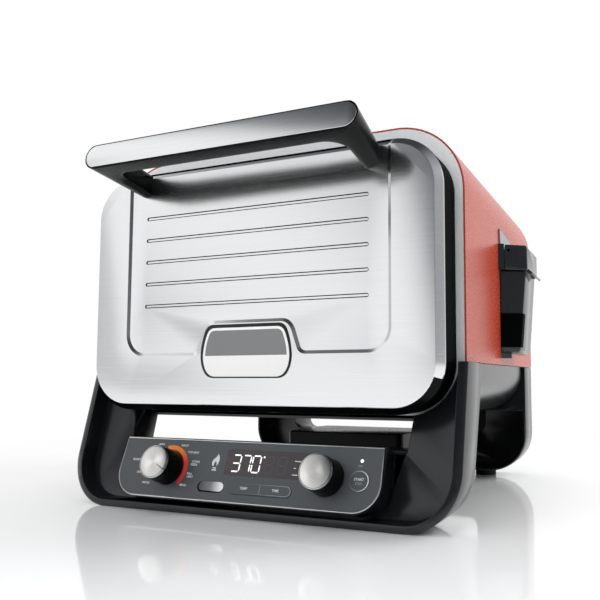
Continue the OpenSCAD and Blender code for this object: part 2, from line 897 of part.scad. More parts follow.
module door_inner() {
    plug_in = 18;
    plug_d = 6;
    sheet = 1.2;
    color("#6f7274")
        difference() {
            union() {
                front_prism(door_d, door_d + sheet)
                    outline(seal_hw - fit, seal_low + fit, seal_top - fit, opening_r, opening_r);
                front_prism(door_d, door_d + plug_d)
                    outline(opening_hw - plug_in, opening_low + 8, opening_top - 4, opening_r, opening_r);
            }
            front_prism(door_d - past, door_d + plug_d - sheet)
                outline(opening_hw - plug_in - sheet, opening_low + 8 + sheet, opening_top - 4 - sheet,
                    opening_r - sheet, opening_r - sheet);
        }
}

module door_insulation() {
    color("#d9d3c2")
        difference() {
            front_prism(skin_t + fit, door_d - fit)
                outline(opening_hw - fit, opening_low + fit, opening_top - fit, opening_r - fit,
                    opening_r - fit);
            for (p = handle_screw_spots())
                bar_y(p[0], skin_t, skin_t + screw_head_t + past, p[1], screw_head_r + past);
        }
}

module door_gasket() {
    color("#2a2a2a")
        front_prism(door_d, cab_front - fit)
            difference() {
                outline(seal_hw + gasket_w, seal_low - gasket_w, seal_top + gasket_w, opening_r + gasket_w,
                    opening_r + gasket_w);
                outline(seal_hw, seal_low, seal_top, opening_r, opening_r);
            }
}

module door_badge() {
    color("#9b9ea0")
        front_prism(-badge_t, 0)
            outline(badge_w / 2, face_low + badge_up, face_low + badge_up + badge_h, badge_r, badge_r);
}

// Places its children in the handle's axes: y runs back along the arms from the face plate
module on_handle() {
    translate([0, -handle_reach, handle_z]) rotate([-handle_tilt, 0, 0]) children();
}

// Plan of the handle: a bar with two arms drawn in towards the door
module handle_plan() {
    hl = handle_l / 2;
    difference() {
        polygon([[-hl, 0], [hl, 0], [hl - arm_in, arm_run], [-hl + arm_in, arm_run]]);
        translate([0, bar_d]) outline(arm_hw, 0, arm_run, arm_fillet, 0);
    }
}

module handle_body() {
    color("#141516")
        difference() {
            on_handle()
                difference() {
                    intersection() {
                        front_prism(0, arm_run) pill(handle_l, handle_h);
                        plan_prism(-handle_h, handle_h) handle_plan();
                    }
                    front_prism(-past, plate_t) pill(handle_l - 2 * plate_rim, handle_h - 2 * plate_rim);
                }
            bevel_block(face_hw, face_low, face_top, face_r, 0, bevel_d, bevel_w);
            box([-handle_l, bevel_d - past, handle_z - handle_reach],
                [handle_l, handle_reach, handle_z + handle_reach]);
            for (p = handle_screw_spots()) bar_y(p[0], -screw_in, past, p[1], screw_r + hold);
        }
}

module handle_plate() {
    color("#c3c5c6")
        on_handle()
            front_prism(0, plate_t) pill(handle_l - 2 * plate_rim - fit, handle_h - 2 * plate_rim - fit);
}

module handle_screws() {
    color("#8d9092")
        for (p = handle_screw_spots()) {
            bar_y(p[0], -screw_in + 1, skin_t, p[1], screw_r);
            bar_y(p[0], skin_t, skin_t + screw_head_t, p[1], screw_head_r);
        }
}

// Stand

// Front of the raked frame at height z, moved back by d
function rake_y(z, d) = -frame_foot + d + z * tan(frame_rake);

// Solid between the raked front plane, moved back by d, and the frame's rear edge, moved back by e
module rake_solid(d, e) {
    side_prism(-frame_hw - past, frame_hw + past)
        polygon([
            [rake_y(frame_low - past, d), frame_low - past], [rake_y(casing_low, d), casing_low],
            [frame_back + e, casing_low], [frame_mid_back + e, frame_mid_z],
            [frame_bottom_back + e, frame_low - past]
        ]);
}

// Everything in front of the raked plane moved back by d
module rake_front(d) {
    side_prism(-frame_hw - past, frame_hw + past)
        polygon([
            [rake_y(0, d), 0], [rake_y(casing_low + past, d), casing_low + past],
            [rake_y(0, 0) - past, casing_low + past], [rake_y(0, 0) - past, 0]
        ]);
}

module console_cut() {
    on_fascia()
        translate([0, 0, -fascia_t - console_d - fit])
            linear_extrude(fascia_t + console_d + knob_h) fascia_outline(trim_w + console_edge + fit);
}

module front_frame() {
    in = frame_t + 0.5;
    color("#2b2d2f")
        difference() {
            intersection() {
                front_prism(rake_y(0, 0) - past, frame_back + past)
                    outline(frame_hw, frame_low, frame_top, frame_r, 0);
                rake_solid(0, 0);
            }
            intersection() {
                front_prism(rake_y(0, 0) - past, frame_back)
                    outline(frame_hw - rim_w, frame_low + rim_low, casing_low + past, frame_r - rim_w, 0);
                rake_front(recess_d);
            }
            front_prism(rake_y(0, 0) - past, cab_front - fit)
                outline(cutout_hw, cutout_low, casing_low + past, cutout_r, 0);
            front_prism(cab_front - fit, frame_back + past)
                outline(tub_hw + fit, tub_low - fit, casing_low + past, tub_r + fit, 0);
            front_prism(rake_y(0, 0) - past, frame_back + past)
                outline(window_hw, fascia_z, casing_low, 0, 0);
            intersection() {
                difference() {
                    front_prism(0, frame_back + past)
                        outline(frame_hw - in, frame_low + in, tub_low - in, frame_r - in, 0);
                    front_prism(-past, frame_back + 2 * past)
                        outline(window_hw + in, fascia_z - in, casing_low, 0, 0);
                }
                rake_solid(recess_d + in, past);
            }
            console_cut();
        }
    color("#2b2d2f") box([-pan_hw + 6, ledge_y0, frame_low + frame_t], [pan_hw - 6, ledge_y1, pan_z]);
}

module rear_frame() {
    in = frame_t;
    color("#2b2d2f")
        difference() {
            front_prism(rear_y0, rear_y1) outline(rear_frame_hw, rear_low, frame_top, frame_r, 0);
            front_prism(rear_y0 - past, rear_y1 + past)
                outline(tub_hw + fit, tub_low - fit, casing_low + past, tub_r + fit, 0);
            front_prism(rear_y0 - past, rear_y1 + past) outline(rear_hw, sill_z, casing_low, sill_r, 0);
            front_prism(rear_y0 - past, rear_y1 - in)
                difference() {
                    outline(rear_frame_hw - in, rear_low + in, tub_low - in, frame_r - in, 0);
                    outline(rear_hw + in, sill_z - in, casing_low, sill_r + in, 0);
                }
            bar_y(gland_x, rear_y1 - in - past, rear_y1 + past, gland_z, gland_r - 3 + hold);
        }
}

module base_pan() {
    y1 = rear_y1 - frame_t - 3;
    color("#232425") {
        box([-pan_hw, pan_y0, pan_z], [pan_hw, y1, pan_z + pan_t]);
        for (x = [cover_x0 + stud_in, cover_x1 - stud_in], y = [cover_y0 + stud_in, cover_y1 - stud_in])
            translate([x, y, pan_z + pan_t - past]) cylinder(h = board_gap + past, r = stud_r);
    }
}

module feet() {
    color("#111112") {
        for (s = [-1, 1]) {
            translate([s * foot_x, frame_bottom_back - foot_r - 4, 0]) cylinder(h = frame_low, r = foot_r);
            translate([s * foot_x, rear_y0 + rear_d / 2, 0]) cylinder(h = rear_low, r = foot_r + 1);
        }
    }
}

module power_board() {
    z0 = pan_z + pan_t + board_gap;
    color("#3d6b4a") {
        box([cover_x0 + board_edge, cover_y0 + board_edge, z0],
            [cover_x1 - board_edge, cover_y1 - board_edge, z0 + board_t]);
        translate([cover_x0 + part_in, cover_y0 + part_in, z0]) cube(coil);
        for (i = [0, 1])
            translate([relay_x + i * (relay[0] + part_step), cover_y0 + part_in, z0])
                cube(relay);
    }
}

module power_cover() {
    color("#1a1b1c")
        difference() {
            plan_prism(pan_z + pan_t, cover_top)
                translate([(cover_x0 + cover_x1) / 2, 0])
                    outline((cover_x1 - cover_x0) / 2, cover_y0, cover_y1, cover_rad, cover_rad);
            plan_prism(pan_z, cover_top - cover_t)
                translate([(cover_x0 + cover_x1) / 2, 0])
                    outline((cover_x1 - cover_x0) / 2 - cover_t, cover_y0 + cover_t, cover_y1 - cover_t,
                        cover_rad - cover_t, cover_rad - cover_t);
        }
}

module cord_gland() {
    color("#111112")
        difference() {
            union() {
                bar_y(gland_x, rear_y1 - frame_t - 2, rear_y1 + 1, gland_z, gland_r - 3);
                bar_y(gland_x, rear_y1, rear_y1 + gland_d, gland_z, gland_r);
            }
            bar_y(gland_x, rear_y1 - frame_t - 3, rear_y1 + gland_d + past, gland_z, 4);
        }
}

// Console

// Places of the buttons in the fascia's axes: middle, length and height of each
function key_middle(side) = key_x + side * (key_l + fit) / 2;
function key_spots() = [
    [start_x, -start_drop], [smoke_key_x, -key_drop], [key_middle(-1), -key_drop], [key_middle(1), -key_drop]
];

module start_shape(g) {
    translate([start_x, -start_drop]) circle(start_r + g);
}

module smoke_shape(g) {
    translate([smoke_key_x, -key_drop]) pill(smoke_key_l + 2 * g, key_h + 2 * g);
}

// Half of the double key: round at its outer end, straight at the inner end
module half_key(side, g) {
    translate([key_middle(side), -key_drop]) {
        translate([side * (key_l - key_h) / 2, 0]) circle(key_h / 2 + g);
        translate([min(-side * (key_l / 2 + g), side * (key_l - key_h) / 2), -key_h / 2 - g])
            square([key_l - key_h / 2 + g, key_h + 2 * g]);
    }
}

module key_holes() {
    start_shape(fit);
    smoke_shape(fit);
    for (s = [-1, 1]) half_key(s, fit);
}

module display_shape(g) {
    translate([display_x - display_w / 2 - g, -display_drop - display_h - g])
        square([display_w + 2 * g, display_h + 2 * g]);
}

module control_fascia() {
    color("#4d5153")
        on_fascia()
            translate([0, 0, -fascia_t])
                linear_extrude(fascia_t)
                    difference() {
                        fascia_outline(0);
                        for (x = [knob_a, knob_b]) translate([x, -knob_drop]) circle(bush_r + fit);
                        key_holes();
                        display_shape(hold);
                        translate([start_x, -led_drop]) circle(led_r + hold);
                    }
}

module fascia_trim() {
    color("#d9dbdc")
        on_fascia()
            translate([0, 0, -fascia_t])
                linear_extrude(fascia_t + 0.3)
                    difference() {
                        fascia_outline(trim_w);
                        fascia_outline(hold);
                    }
}

module console_body() {
    color("#1c1d1f")
        on_fascia() {
            difference() {
                translate([0, 0, -fascia_t - console_d])
                    linear_extrude(console_d) fascia_outline(trim_w + console_edge);
                translate([0, 0, -fascia_t - console_d - past])
                    linear_extrude(console_d - console_t + past) fascia_outline(-console_t);
                translate([0, 0, wall_back - past]) linear_extrude(console_t + 2 * past) {
                    for (x = [knob_a, knob_b]) translate([x, -knob_drop]) circle(bush_r + fit);
                    key_holes();
                    display_shape(-2);
                    translate([start_x, -led_drop]) circle(led_r + hold);
                }
            }
            for (x = [-1, 1], y = [-board_drop - 4, -board_drop - board_h + 4])
                translate([x * (fascia_hw - post_in), y, board_z])
                    cylinder(h = wall_back - board_z + past, r = post_r);
        }
}

module display_window() {
    color("#151213")
        on_fascia() translate([0, 0, -fascia_t]) linear_extrude(fascia_t) display_shape(0);
}

module display_module() {
    color("#2a2224")
        on_fascia()
            translate([0, 0, board_z]) linear_extrude(-fascia_t - board_z - hold) display_shape(-3);
}

module control_board() {
    color("#3d6b4a")
        on_fascia()
            translate([-fascia_hw + board_in, -board_drop - board_h, board_z - board_t])
                cube([2 * (fascia_hw - board_in), board_h, board_t]);
}

module encoder(x) {
    on_fascia()
        translate([x, -knob_drop, board_z])
            difference() {
                union() {
                    translate([-encoder_w / 2, -encoder_w / 2, 0]) cube([encoder_w, encoder_w, encoder_h]);
                    cylinder(h = knob_gap + 4 - board_z, r = bush_r);
                }
                translate([0, 0, 2]) cylinder(h = knob_gap + 4 - board_z, r = shaft_r + run);
            }
}

module function_encoder() {
    color("#8f9294") encoder(knob_a);
}

module setting_encoder() {
    color("#8f9294") encoder(knob_b);
}

// Knob with a hollow over the encoder's bush and a shaft down into it
module knob(x) {
    on_fascia()
        translate([x, -knob_drop, 0]) {
            difference() {
                translate([0, 0, knob_gap])
                    cylinder(h = knob_h - cap_t - knob_gap, r1 = knob_dia / 2 + knob_flare, r2 = knob_dia / 2);
                cylinder(h = knob_cup_h, r = knob_cup_r);
            }
            translate([0, 0, board_z + 3]) cylinder(h = knob_cup_h - board_z - 2, r = shaft_r);
        }
}

// Metal cap with a bevelled rim
module knob_cap(x) {
    rim = 1;
    on_fascia()
        translate([x, -knob_drop, knob_h - cap_t]) {
            cylinder(h = cap_t - rim, r = knob_dia / 2 - 0.6);
            translate([0, 0, cap_t - rim])
                cylinder(h = rim, r1 = knob_dia / 2 - 0.6, r2 = knob_dia / 2 - 0.6 - rim);
        }
}

module function_knob() {
    color("#161718") knob(knob_a);
}

module function_cap() {
    color("#c6c8c9") knob_cap(knob_a);
}

module setting_knob() {
    color("#161718") knob(knob_b);
}

module setting_cap() {
    color("#c6c8c9") knob_cap(knob_b);
}

// Depth of a button's foot: its switch lies one travel and a fit below it
function key_foot() = board_z + switch_h + key_travel + fit;

module key_body() {
    on_fascia()
        translate([0, 0, key_foot()]) linear_extrude(key_proud - key_foot()) children();
}

module start_button() {
    color("#505456") key_body() start_shape(0);
}

module smoke_button() {
    color("#b9bcbd") key_body() smoke_shape(0);
}

module temp_button() {
    color("#505456") key_body() half_key(-1, 0);
}

module time_button() {
    color("#505456") key_body() half_key(1, 0);
}

module key_switches() {
    color("#9a9da0")
        on_fascia()
            for (p = key_spots())
                translate([p[0] - switch_w / 2, p[1] - switch_w / 2, board_z])
                    cube([switch_w, switch_w, switch_h]);
}

module status_light() {
    color("#f2f3ee")
        on_fascia()
            translate([start_x, -led_drop, board_z]) cylinder(h = 0.2 - board_z, r = led_r);
}

// Smoke box

// Plan of the smoke box, grown by g, its front wall drawn in towards the outside
module smoke_plan(x0, x1, g) {
    polygon([
        [x0, smoke_front - g], [x1, smoke_front + smoke_in * (x1 - x0) / smoke_reach - g],
        [x1, smoke_back - 3 + g], [x0, smoke_back + g]
    ]);
}

module smoke_bracket() {
    color("#8f969b") {
        difference() {
            box([cab_hw, smoke_front - bracket_side, smoke_low + bracket_step],
                [plate_x, smoke_back + bracket_step, lid_top + bracket_up]);
            bar_x(cab_hw - past, plate_x + past, duct_y, duct_z, duct_r + fit);
            bar_x(cab_hw - past, plate_x + past, duct_y, igniter_z, igniter_r + fit);
        }
        for (y = ear_ys())
            difference() {
                front_prism(y, y + ear_w) {
                    translate([lid_axis_x, lid_axis_z]) circle(ear_r);
                    translate([cab_hw, lid_axis_z - ear_r]) square([lid_axis_x - cab_hw, 2 * ear_r]);
                }
                bar_y(lid_axis_x, y - past, y + ear_w + past, lid_axis_z, lid_pin_r + hold);
            }
    }
}

// Front faces of the two hinge ears
function ear_ys() = [smoke_front + smoke_t + ear_in + 3, smoke_back - smoke_t - ear_in - ear_w];

module smoke_box() {
    rib_t = 2;
    color("#1b1d1e") {
        difference() {
            intersection() {
                plan_prism(smoke_low, smoke_rim) smoke_plan(smoke_x0, smoke_x1, 0);
                smoke_taper_solid(0);
            }
            intersection() {
                plan_prism(smoke_low + smoke_t, smoke_rim + past)
                    smoke_plan(smoke_x0 + smoke_t, smoke_x1 - smoke_t, -smoke_t);
                smoke_taper_solid(smoke_t);
            }
            bar_x(smoke_x0 - past, smoke_x0 + smoke_t + past, duct_y, duct_z, duct_r + fit);
            bar_x(smoke_x0 - past, smoke_x0 + smoke_t + past, duct_y, igniter_z, igniter_r + fit);
        }
        for (y = [basket_y0(), basket_y1() - rib_t])
            box([smoke_x0 + smoke_t - 0.5, y, smoke_low + smoke_t - 0.5],
                [smoke_x0 + smoke_t + 14, y + rib_t, basket_z]);
    }
}

// Front view of the box's taper, its outer side moved in by d
module smoke_taper_solid(d) {
    front_prism(smoke_front - 2 * smoke_t, smoke_back + 2 * smoke_t)
        polygon([
            [smoke_x0 - past, smoke_low - past], [smoke_x1 - smoke_taper - d, smoke_low - past],
            [smoke_x1 - d, smoke_rim + 2 * past], [smoke_x0 - past, smoke_rim + 2 * past]
        ]);
}

function basket_y0() = smoke_front + smoke_in + smoke_t + 1;
function basket_y1() = smoke_back - 3 - smoke_t - 1;

module pellet_basket() {
    x0 = smoke_x0 + smoke_t + fit;
    x1 = smoke_x1 - smoke_taper - smoke_t - 1;
    color("#a3a6a8")
        difference() {
            box([x0, basket_y0(), basket_z], [x1, basket_y1(), smoke_rim - 6]);
            box([x0 + basket_t, basket_y0() + basket_t, basket_z + basket_t],
                [x1 - basket_t, basket_y1() - basket_t, smoke_rim]);
            for (i = [0 : 4])
                bar_x(x0 - past, x0 + basket_t + past, basket_y0() + 8 + 10 * i, basket_z + 12, 2.5);
        }
}

module igniter_rod() {
    color("#7d8082")
        bar_x(wool_hw - igniter_in, smoke_x1 - smoke_taper - smoke_t - 2, duct_y, igniter_z, igniter_r);
}

module smoke_duct() {
    color("#9a9da0")
        difference() {
            bar_x(cavity_hw, smoke_x0 + smoke_t, duct_y, duct_z, duct_r);
            bar_x(cavity_hw - past, smoke_x0 + smoke_t + past, duct_y, duct_z, duct_r - duct_t);
        }
}

module smoke_lid() {
    color("#1f2223")
        difference() {
            union() {
                plan_prism(lid_low, lid_top) smoke_plan(lid_x0, lid_x1, lid_grow);
                front_prism(smoke_front + smoke_in, smoke_back)
                    polygon([
                        [lid_x1 - 0.5, lid_low + 8], [lip_x1, lid_low - 2],
                        [lip_x1 - 1.5, lid_low - 4], [lid_x1 - 1.5, lid_low]
                    ]);
            }
            plan_prism(lid_low - past, lid_top - smoke_t)
                smoke_plan(lid_x0 - past, lid_x1 - smoke_t, lid_grow - smoke_t);
            for (y = ear_ys())
                box([lid_x0 - past, y - 2 * fit, lid_low],
                    [lid_axis_x + ear_r + 4 * fit, y + ear_w + 2 * fit, lid_top + past]);
            bar_y(lid_axis_x, smoke_front - 20, smoke_back + 20, lid_axis_z, lid_pin_r + run);
        }
}

module lid_pin() {
    color("#a9acae") {
        bar_y(lid_axis_x, lid_pin_y0(), ear_ys()[0] + ear_w + 1, lid_axis_z, lid_pin_r);
        bar_y(lid_axis_x, ear_ys()[1] - 1, smoke_back + lid_grow - 0.5, lid_axis_z, lid_pin_r);
    }
}

// Front end of the front pin, inside the lid's slanted front wall
function lid_pin_y0() = smoke_front - lid_grow + smoke_in * (lid_axis_x - lid_x0) / smoke_reach;

placed() outer_casing();
placed() front_bezel();
placed() rear_panel();
placed() cavity_liner();
placed() insulation();
placed() lower_tub();
placed() front_frame();
placed() rear_frame();
placed() base_pan();
placed() feet();
placed() console_body();
placed() control_fascia();
placed() fascia_trim();
placed() display_window();
placed() display_module();
placed() control_board();
placed() function_encoder();
placed() setting_encoder();
placed() key_switches();
placed() status_light();
placed() power_board();
placed() power_cover();
placed() cord_gland();
placed() upper_heater();
placed() lower_heater();
placed() fan_cover();
placed() fan_motor();
placed() fan_impeller();
placed() exhaust_hood();
placed() rack_rails();
placed() wire_rack();
placed() temperature_probe();
placed() hinge_brackets();
placed() rear_screws();
placed() door_skin();
placed() door_frame();
placed() door_inner();
placed() door_insulation();
placed() door_gasket();
placed() door_badge();
placed() hinge_pins();
placed() handle_body();
placed() handle_plate();
placed() handle_screws();
placed() smoke_bracket();
placed() smoke_box();
placed() smoke_lid();
placed() lid_pin();
placed() pellet_basket();
placed() igniter_rod();
placed() smoke_duct();
placed() function_knob();
placed() function_cap();
placed() setting_knob();
placed() setting_cap();
placed() start_button();
placed() smoke_button();
placed() temp_button();
placed() time_button();
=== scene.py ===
import math
import bmesh
import bpy
from mathutils import Matrix, Vector
from mathutils.geometry import delaunay_2d_cdt


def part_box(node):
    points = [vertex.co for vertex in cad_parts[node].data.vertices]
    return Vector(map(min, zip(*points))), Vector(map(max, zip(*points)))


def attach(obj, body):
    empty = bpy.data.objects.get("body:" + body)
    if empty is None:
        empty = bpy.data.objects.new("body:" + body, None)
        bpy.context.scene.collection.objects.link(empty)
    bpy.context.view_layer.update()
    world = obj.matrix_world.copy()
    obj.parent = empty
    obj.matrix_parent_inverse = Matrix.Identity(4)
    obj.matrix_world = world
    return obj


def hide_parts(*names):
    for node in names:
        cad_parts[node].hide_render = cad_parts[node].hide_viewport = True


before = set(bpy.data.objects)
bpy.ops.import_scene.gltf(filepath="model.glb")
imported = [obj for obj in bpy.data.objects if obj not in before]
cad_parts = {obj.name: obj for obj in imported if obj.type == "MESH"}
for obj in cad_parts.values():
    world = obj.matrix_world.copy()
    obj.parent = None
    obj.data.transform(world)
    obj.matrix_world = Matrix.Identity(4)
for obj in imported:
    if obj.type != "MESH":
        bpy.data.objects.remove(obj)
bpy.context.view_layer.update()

# The view
# The photograph's camera: low in front of the oven, a little to its right, with upright lines kept upright.
view = bpy.data.cameras.new("view")
view.lens, view.sensor_width = 40.24, 36.0
view.shift_x, view.shift_y = -0.1, 0.0417
camera = bpy.data.objects.new("view", view)
camera.location = (0.34734, -0.73596, 0.13182)
camera.rotation_euler = (math.radians(94.608), 0, math.radians(23.269))
bpy.context.scene.collection.objects.link(camera)
bpy.context.scene.camera = camera


# The studio
# A white backdrop. Reflections see a white room with a dark ceiling and a grey right wall, so that steel leaning
# back or turned aside goes grey. The light on dull surfaces is even, with a soft key from the right.
def lin(code):
    """Linear colour of an sRGB hex value."""
    raw = [int(code[i:i + 2], 16) / 255 for i in (1, 3, 5)]
    return tuple(c / 12.92 if c <= 0.04045 else ((c + 0.055) / 1.055) ** 2.4 for c in raw) + (1.0,)


def put(tree, kind, settings={}, links={}):
    """Adds one node with its settings; each input gets a value, or a link when a socket is given."""
    made = tree.nodes.new(kind)
    for key, value in settings.items():
        setattr(made, key, value)
    for key, value in links.items():
        if isinstance(value, bpy.types.NodeSocket):
            tree.links.new(value, made.inputs[key])
        else:
            made.inputs[key].default_value = value
    return made


def stops(ramp, *pairs):
    """Sets a colour ramp's stops from (place, hex colour) pairs."""
    first, last = ramp.color_ramp.elements
    (first.position, low), (last.position, high) = pairs[0], pairs[-1]
    first.color, last.color = lin(low), lin(high)
    for place, code in pairs[1:-1]:
        ramp.color_ramp.elements.new(place).color = lin(code)
    return ramp


def sight(tree):
    """A light path node, and whether a ray is seen: straight on, mirrored or through glass."""
    path = put(tree, "ShaderNodeLightPath")
    seen = path.outputs["Is Camera Ray"]
    for kind in ("Is Glossy Ray", "Is Transmission Ray"):
        seen = put(tree, "ShaderNodeMath", {"operation": "MAXIMUM"}, {0: seen, 1: path.outputs[kind]}).outputs[0]
    return path, seen


bpy.context.scene.view_settings.view_transform = "Standard"
room = bpy.data.worlds.new("white_studio")
bpy.context.scene.world = room
room.use_nodes = True
sky = room.node_tree
sky.nodes.clear()
way = put(sky, "ShaderNodeTexCoord")
split = put(sky, "ShaderNodeSeparateXYZ", {}, {"Vector": way.outputs["Generated"]})
left = put(sky, "ShaderNodeMath", {"operation": "MINIMUM"}, {0: split.outputs["X"], 1: 0.0})
slant = put(sky, "ShaderNodeMath", {"operation": "MULTIPLY_ADD"}, {0: left.outputs[0], 1: 1.6, 2: split.outputs["Z"]})
place = put(sky, "ShaderNodeMapRange", {}, {"Value": slant.outputs[0], "From Min": -1.2, "From Max": 0.4})
shade = stops(put(sky, "ShaderNodeValToRGB", {}, {"Fac": place.outputs["Result"]}),
              (0.14, "#cacbcc"), (0.175, "#e6e7e8"), (0.23, "#fdfdfd"), (0.41, "#ffffff"), (0.47, "#f4f5f5"),
              (0.545, "#e6e7e8"), (0.58, "#dcddde"), (0.616, "#c2c3c4"), (0.653, "#969798"), (0.695, "#84868a"),
              (0.75, "#717376"), (0.875, "#55585b"), (1.0, "#3a3d40"))
right = put(sky, "ShaderNodeMapRange", {"interpolation_type": "SMOOTHSTEP"},
            {"Value": split.outputs["X"], "From Min": 0.15, "From Max": 0.7})
turned = put(sky, "ShaderNodeMix", {"data_type": "RGBA"},
             {0: right.outputs["Result"], 6: shade.outputs["Color"], 7: lin("#9a9c9e")})
behind = put(sky, "ShaderNodeMapRange", {"interpolation_type": "SMOOTHSTEP"},
             {"Value": split.outputs["Y"], "From Min": -0.12, "From Max": 0.08})
under = put(sky, "ShaderNodeMapRange", {"interpolation_type": "SMOOTHSTEP"},
            {"Value": split.outputs["Z"], "From Min": 0.75, "From Max": 0.5})
wall = put(sky, "ShaderNodeMath", {"operation": "MULTIPLY"}, {
    0: behind.outputs["Result"], 1: under.outputs["Result"]})
around = put(sky, "ShaderNodeMix", {"data_type": "RGBA"},
             {0: wall.outputs[0], 6: turned.outputs[2], 7: lin("#ffffff")})
path, seen = sight(sky)
plain = put(sky, "ShaderNodeMix", {"data_type": "RGBA"},
            {0: path.outputs["Is Camera Ray"], 6: around.outputs[2], 7: lin("#ffffff")})
shown = put(sky, "ShaderNodeBackground", {}, {"Color": plain.outputs[2], "Strength": 1.0})
even = put(sky, "ShaderNodeBackground", {}, {"Color": lin("#f4f7fa"), "Strength": 0.55})
both = put(sky, "ShaderNodeMixShader", {}, {0: seen, 1: even.outputs[0], 2: shown.outputs[0]})
put(sky, "ShaderNodeOutputWorld", {}, {"Surface": both.outputs[0]})


def soft_box(name, spot, aim, wide, high, watts):
    """A studio soft box at spot that faces aim, both in metres."""
    lamp = bpy.data.lights.new(name, "AREA")
    lamp.shape, lamp.size, lamp.size_y, lamp.energy = "RECTANGLE", wide, high, watts
    stand = bpy.data.objects.new(name, lamp)
    stand.location = spot
    stand.rotation_euler = (Vector(aim) - Vector(spot)).to_track_quat("-Z", "Y").to_euler()
    stand.visible_camera = False
    stand.visible_glossy = False
    bpy.context.scene.collection.objects.link(stand)


soft_box("key_right", (1.35, 0.95, 1.2), (0.1, 0, 0.2), 1.0, 1.0, 27)
soft_box("fill_front", (-0.5, -1.8, 1.0), (0, 0, 0.15), 1.6, 1.2, 16)
soft_box("top", (0, 0, 2.0), (0, 0, 0), 1.6, 1.6, 22)


def finish(name):
    """A new empty material and its node tree."""
    made = bpy.data.materials.new(name)
    made.use_nodes = True
    made.node_tree.nodes.clear()
    return made, made.node_tree


# Gloss white acrylic table, 4 m wide: it mirrors the stand faintly, keeps the soft shadow and fades to white far out.
table_white, tree = finish("gloss_white_acrylic")
spot = put(tree, "ShaderNodeTexCoord")
far = put(tree, "ShaderNodeVectorMath", {"operation": "LENGTH"}, {0: spot.outputs["Object"]})
fade = put(tree, "ShaderNodeMapRange", {"interpolation_type": "SMOOTHSTEP"},
           {"Value": far.outputs["Value"], "From Min": 0.45, "From Max": 1.1})
_, seen = sight(tree)
share = put(tree, "ShaderNodeMath", {"operation": "MULTIPLY"}, {0: fade.outputs["Result"], 1: seen})
acrylic = put(tree, "ShaderNodeBsdfPrincipled", {}, {
    "Base Color": lin("#e6e6e6"), "Roughness": 0.06, "IOR": 1.49})
white = put(tree, "ShaderNodeEmission", {}, {"Color": lin("#ffffff"), "Strength": 1.0})
both = put(tree, "ShaderNodeMixShader", {}, {0: share.outputs[0], 1: acrylic.outputs[0], 2: white.outputs[0]})
put(tree, "ShaderNodeOutputMaterial", {}, {"Surface": both.outputs[0]})
ground = bpy.data.meshes.new("table")
table_half = 2.0
corners = [(x * table_half, y * table_half, 0) for x, y in ((-1, -1), (1, -1), (1, 1), (-1, 1))]
ground.from_pydata(corners, [], [(0, 1, 2, 3)])
ground.materials.append(table_white)
table = bpy.data.objects.new("table", ground)
bpy.context.scene.collection.objects.link(table)


# Outer casing
# The painted sheet wrapped over the top and both sides, folded from one blank and fixed inside the bezel.
# Terracotta powder coat: satin, with the faint orange peel that baked powder leaves.
def wear(nodes, made):
    """Gives carried-over CAD nodes their finish."""
    for name in nodes:
        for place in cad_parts[name].material_slots:
            place.material = made


def grained(name, grain, detail, tones, rough, bump=(), more={}, cloud=()):
    """A finish whose roughness and bump follow a noise, grain mm across; so do its tones, or a wider cloud.

    The bump is (strength, metres) and the cloud (mm across, detail).
    """
    made, tree = finish(name)
    spot = put(tree, "ShaderNodeTexCoord")
    sizes = [(grain, detail), cloud] if cloud else [(grain, detail)]
    noises = [put(tree, "ShaderNodeTexNoise", {}, {
        "Vector": spot.outputs["Object"], "Scale": 1000 / wide, "Detail": depth}) for wide, depth in sizes]
    fine, slow = noises[0].outputs["Fac"], noises[-1].outputs["Fac"]
    skin = {"Base Color": lin(tones[0]), "Roughness": rough, **more}
    if len(tones) > 1:
        places = [0.3 + 0.4 * i / (len(tones) - 1) for i in range(len(tones))]
        ramp = stops(put(tree, "ShaderNodeValToRGB", {}, {"Fac": slow}), *zip(places, tones))
        skin["Base Color"] = ramp.outputs["Color"]
    if isinstance(rough, tuple):
        spread = put(tree, "ShaderNodeMapRange", {}, {"Value": fine, "To Min": rough[0], "To Max": rough[1]})
        skin["Roughness"] = spread.outputs["Result"]
    if bump:
        relief = put(tree, "ShaderNodeBump", {}, {"Strength": bump[0], "Distance": bump[1], "Height": fine})
        skin["Normal"] = relief.outputs["Normal"]
    shader = put(tree, "ShaderNodeBsdfPrincipled", {}, skin)
    put(tree, "ShaderNodeOutputMaterial", {}, {"Surface": shader.outputs[0]})
    return made


terracotta = grained("terracotta_powder_coat", 2.2, 2.0, ("#ab3f2a", "#b24630"), (0.24, 0.3), (0.03, 0.0003),
                     {"IOR": 1.5, "Specular IOR Level": 0.3}, (140, 3.0))
wear(["outer_casing"], terracotta)

# Front bezel
# A flat ring of stainless sheet, laser cut and held inside the casing's front edge, round the cavity's mouth.
# Glass-bead blasted, so it is pale and dull beside the brushed door, and is shaded almost like paint.
row_x, row_y = 15.0, 175.0145


def row(x, y, z):
    """A place in the row frame from millimetres across, behind the door's face and above the table."""
    return Vector(((x - row_x) / 1000, (y - row_y) / 1000, z / 1000))


blasted = grained("bead_blasted_stainless_steel", 0.8, 2.0, ("#e2e3e4", "#ecedee"), (0.62, 0.7),
                  more={"Metallic": 0.1})
wear(["front_bezel"], blasted)

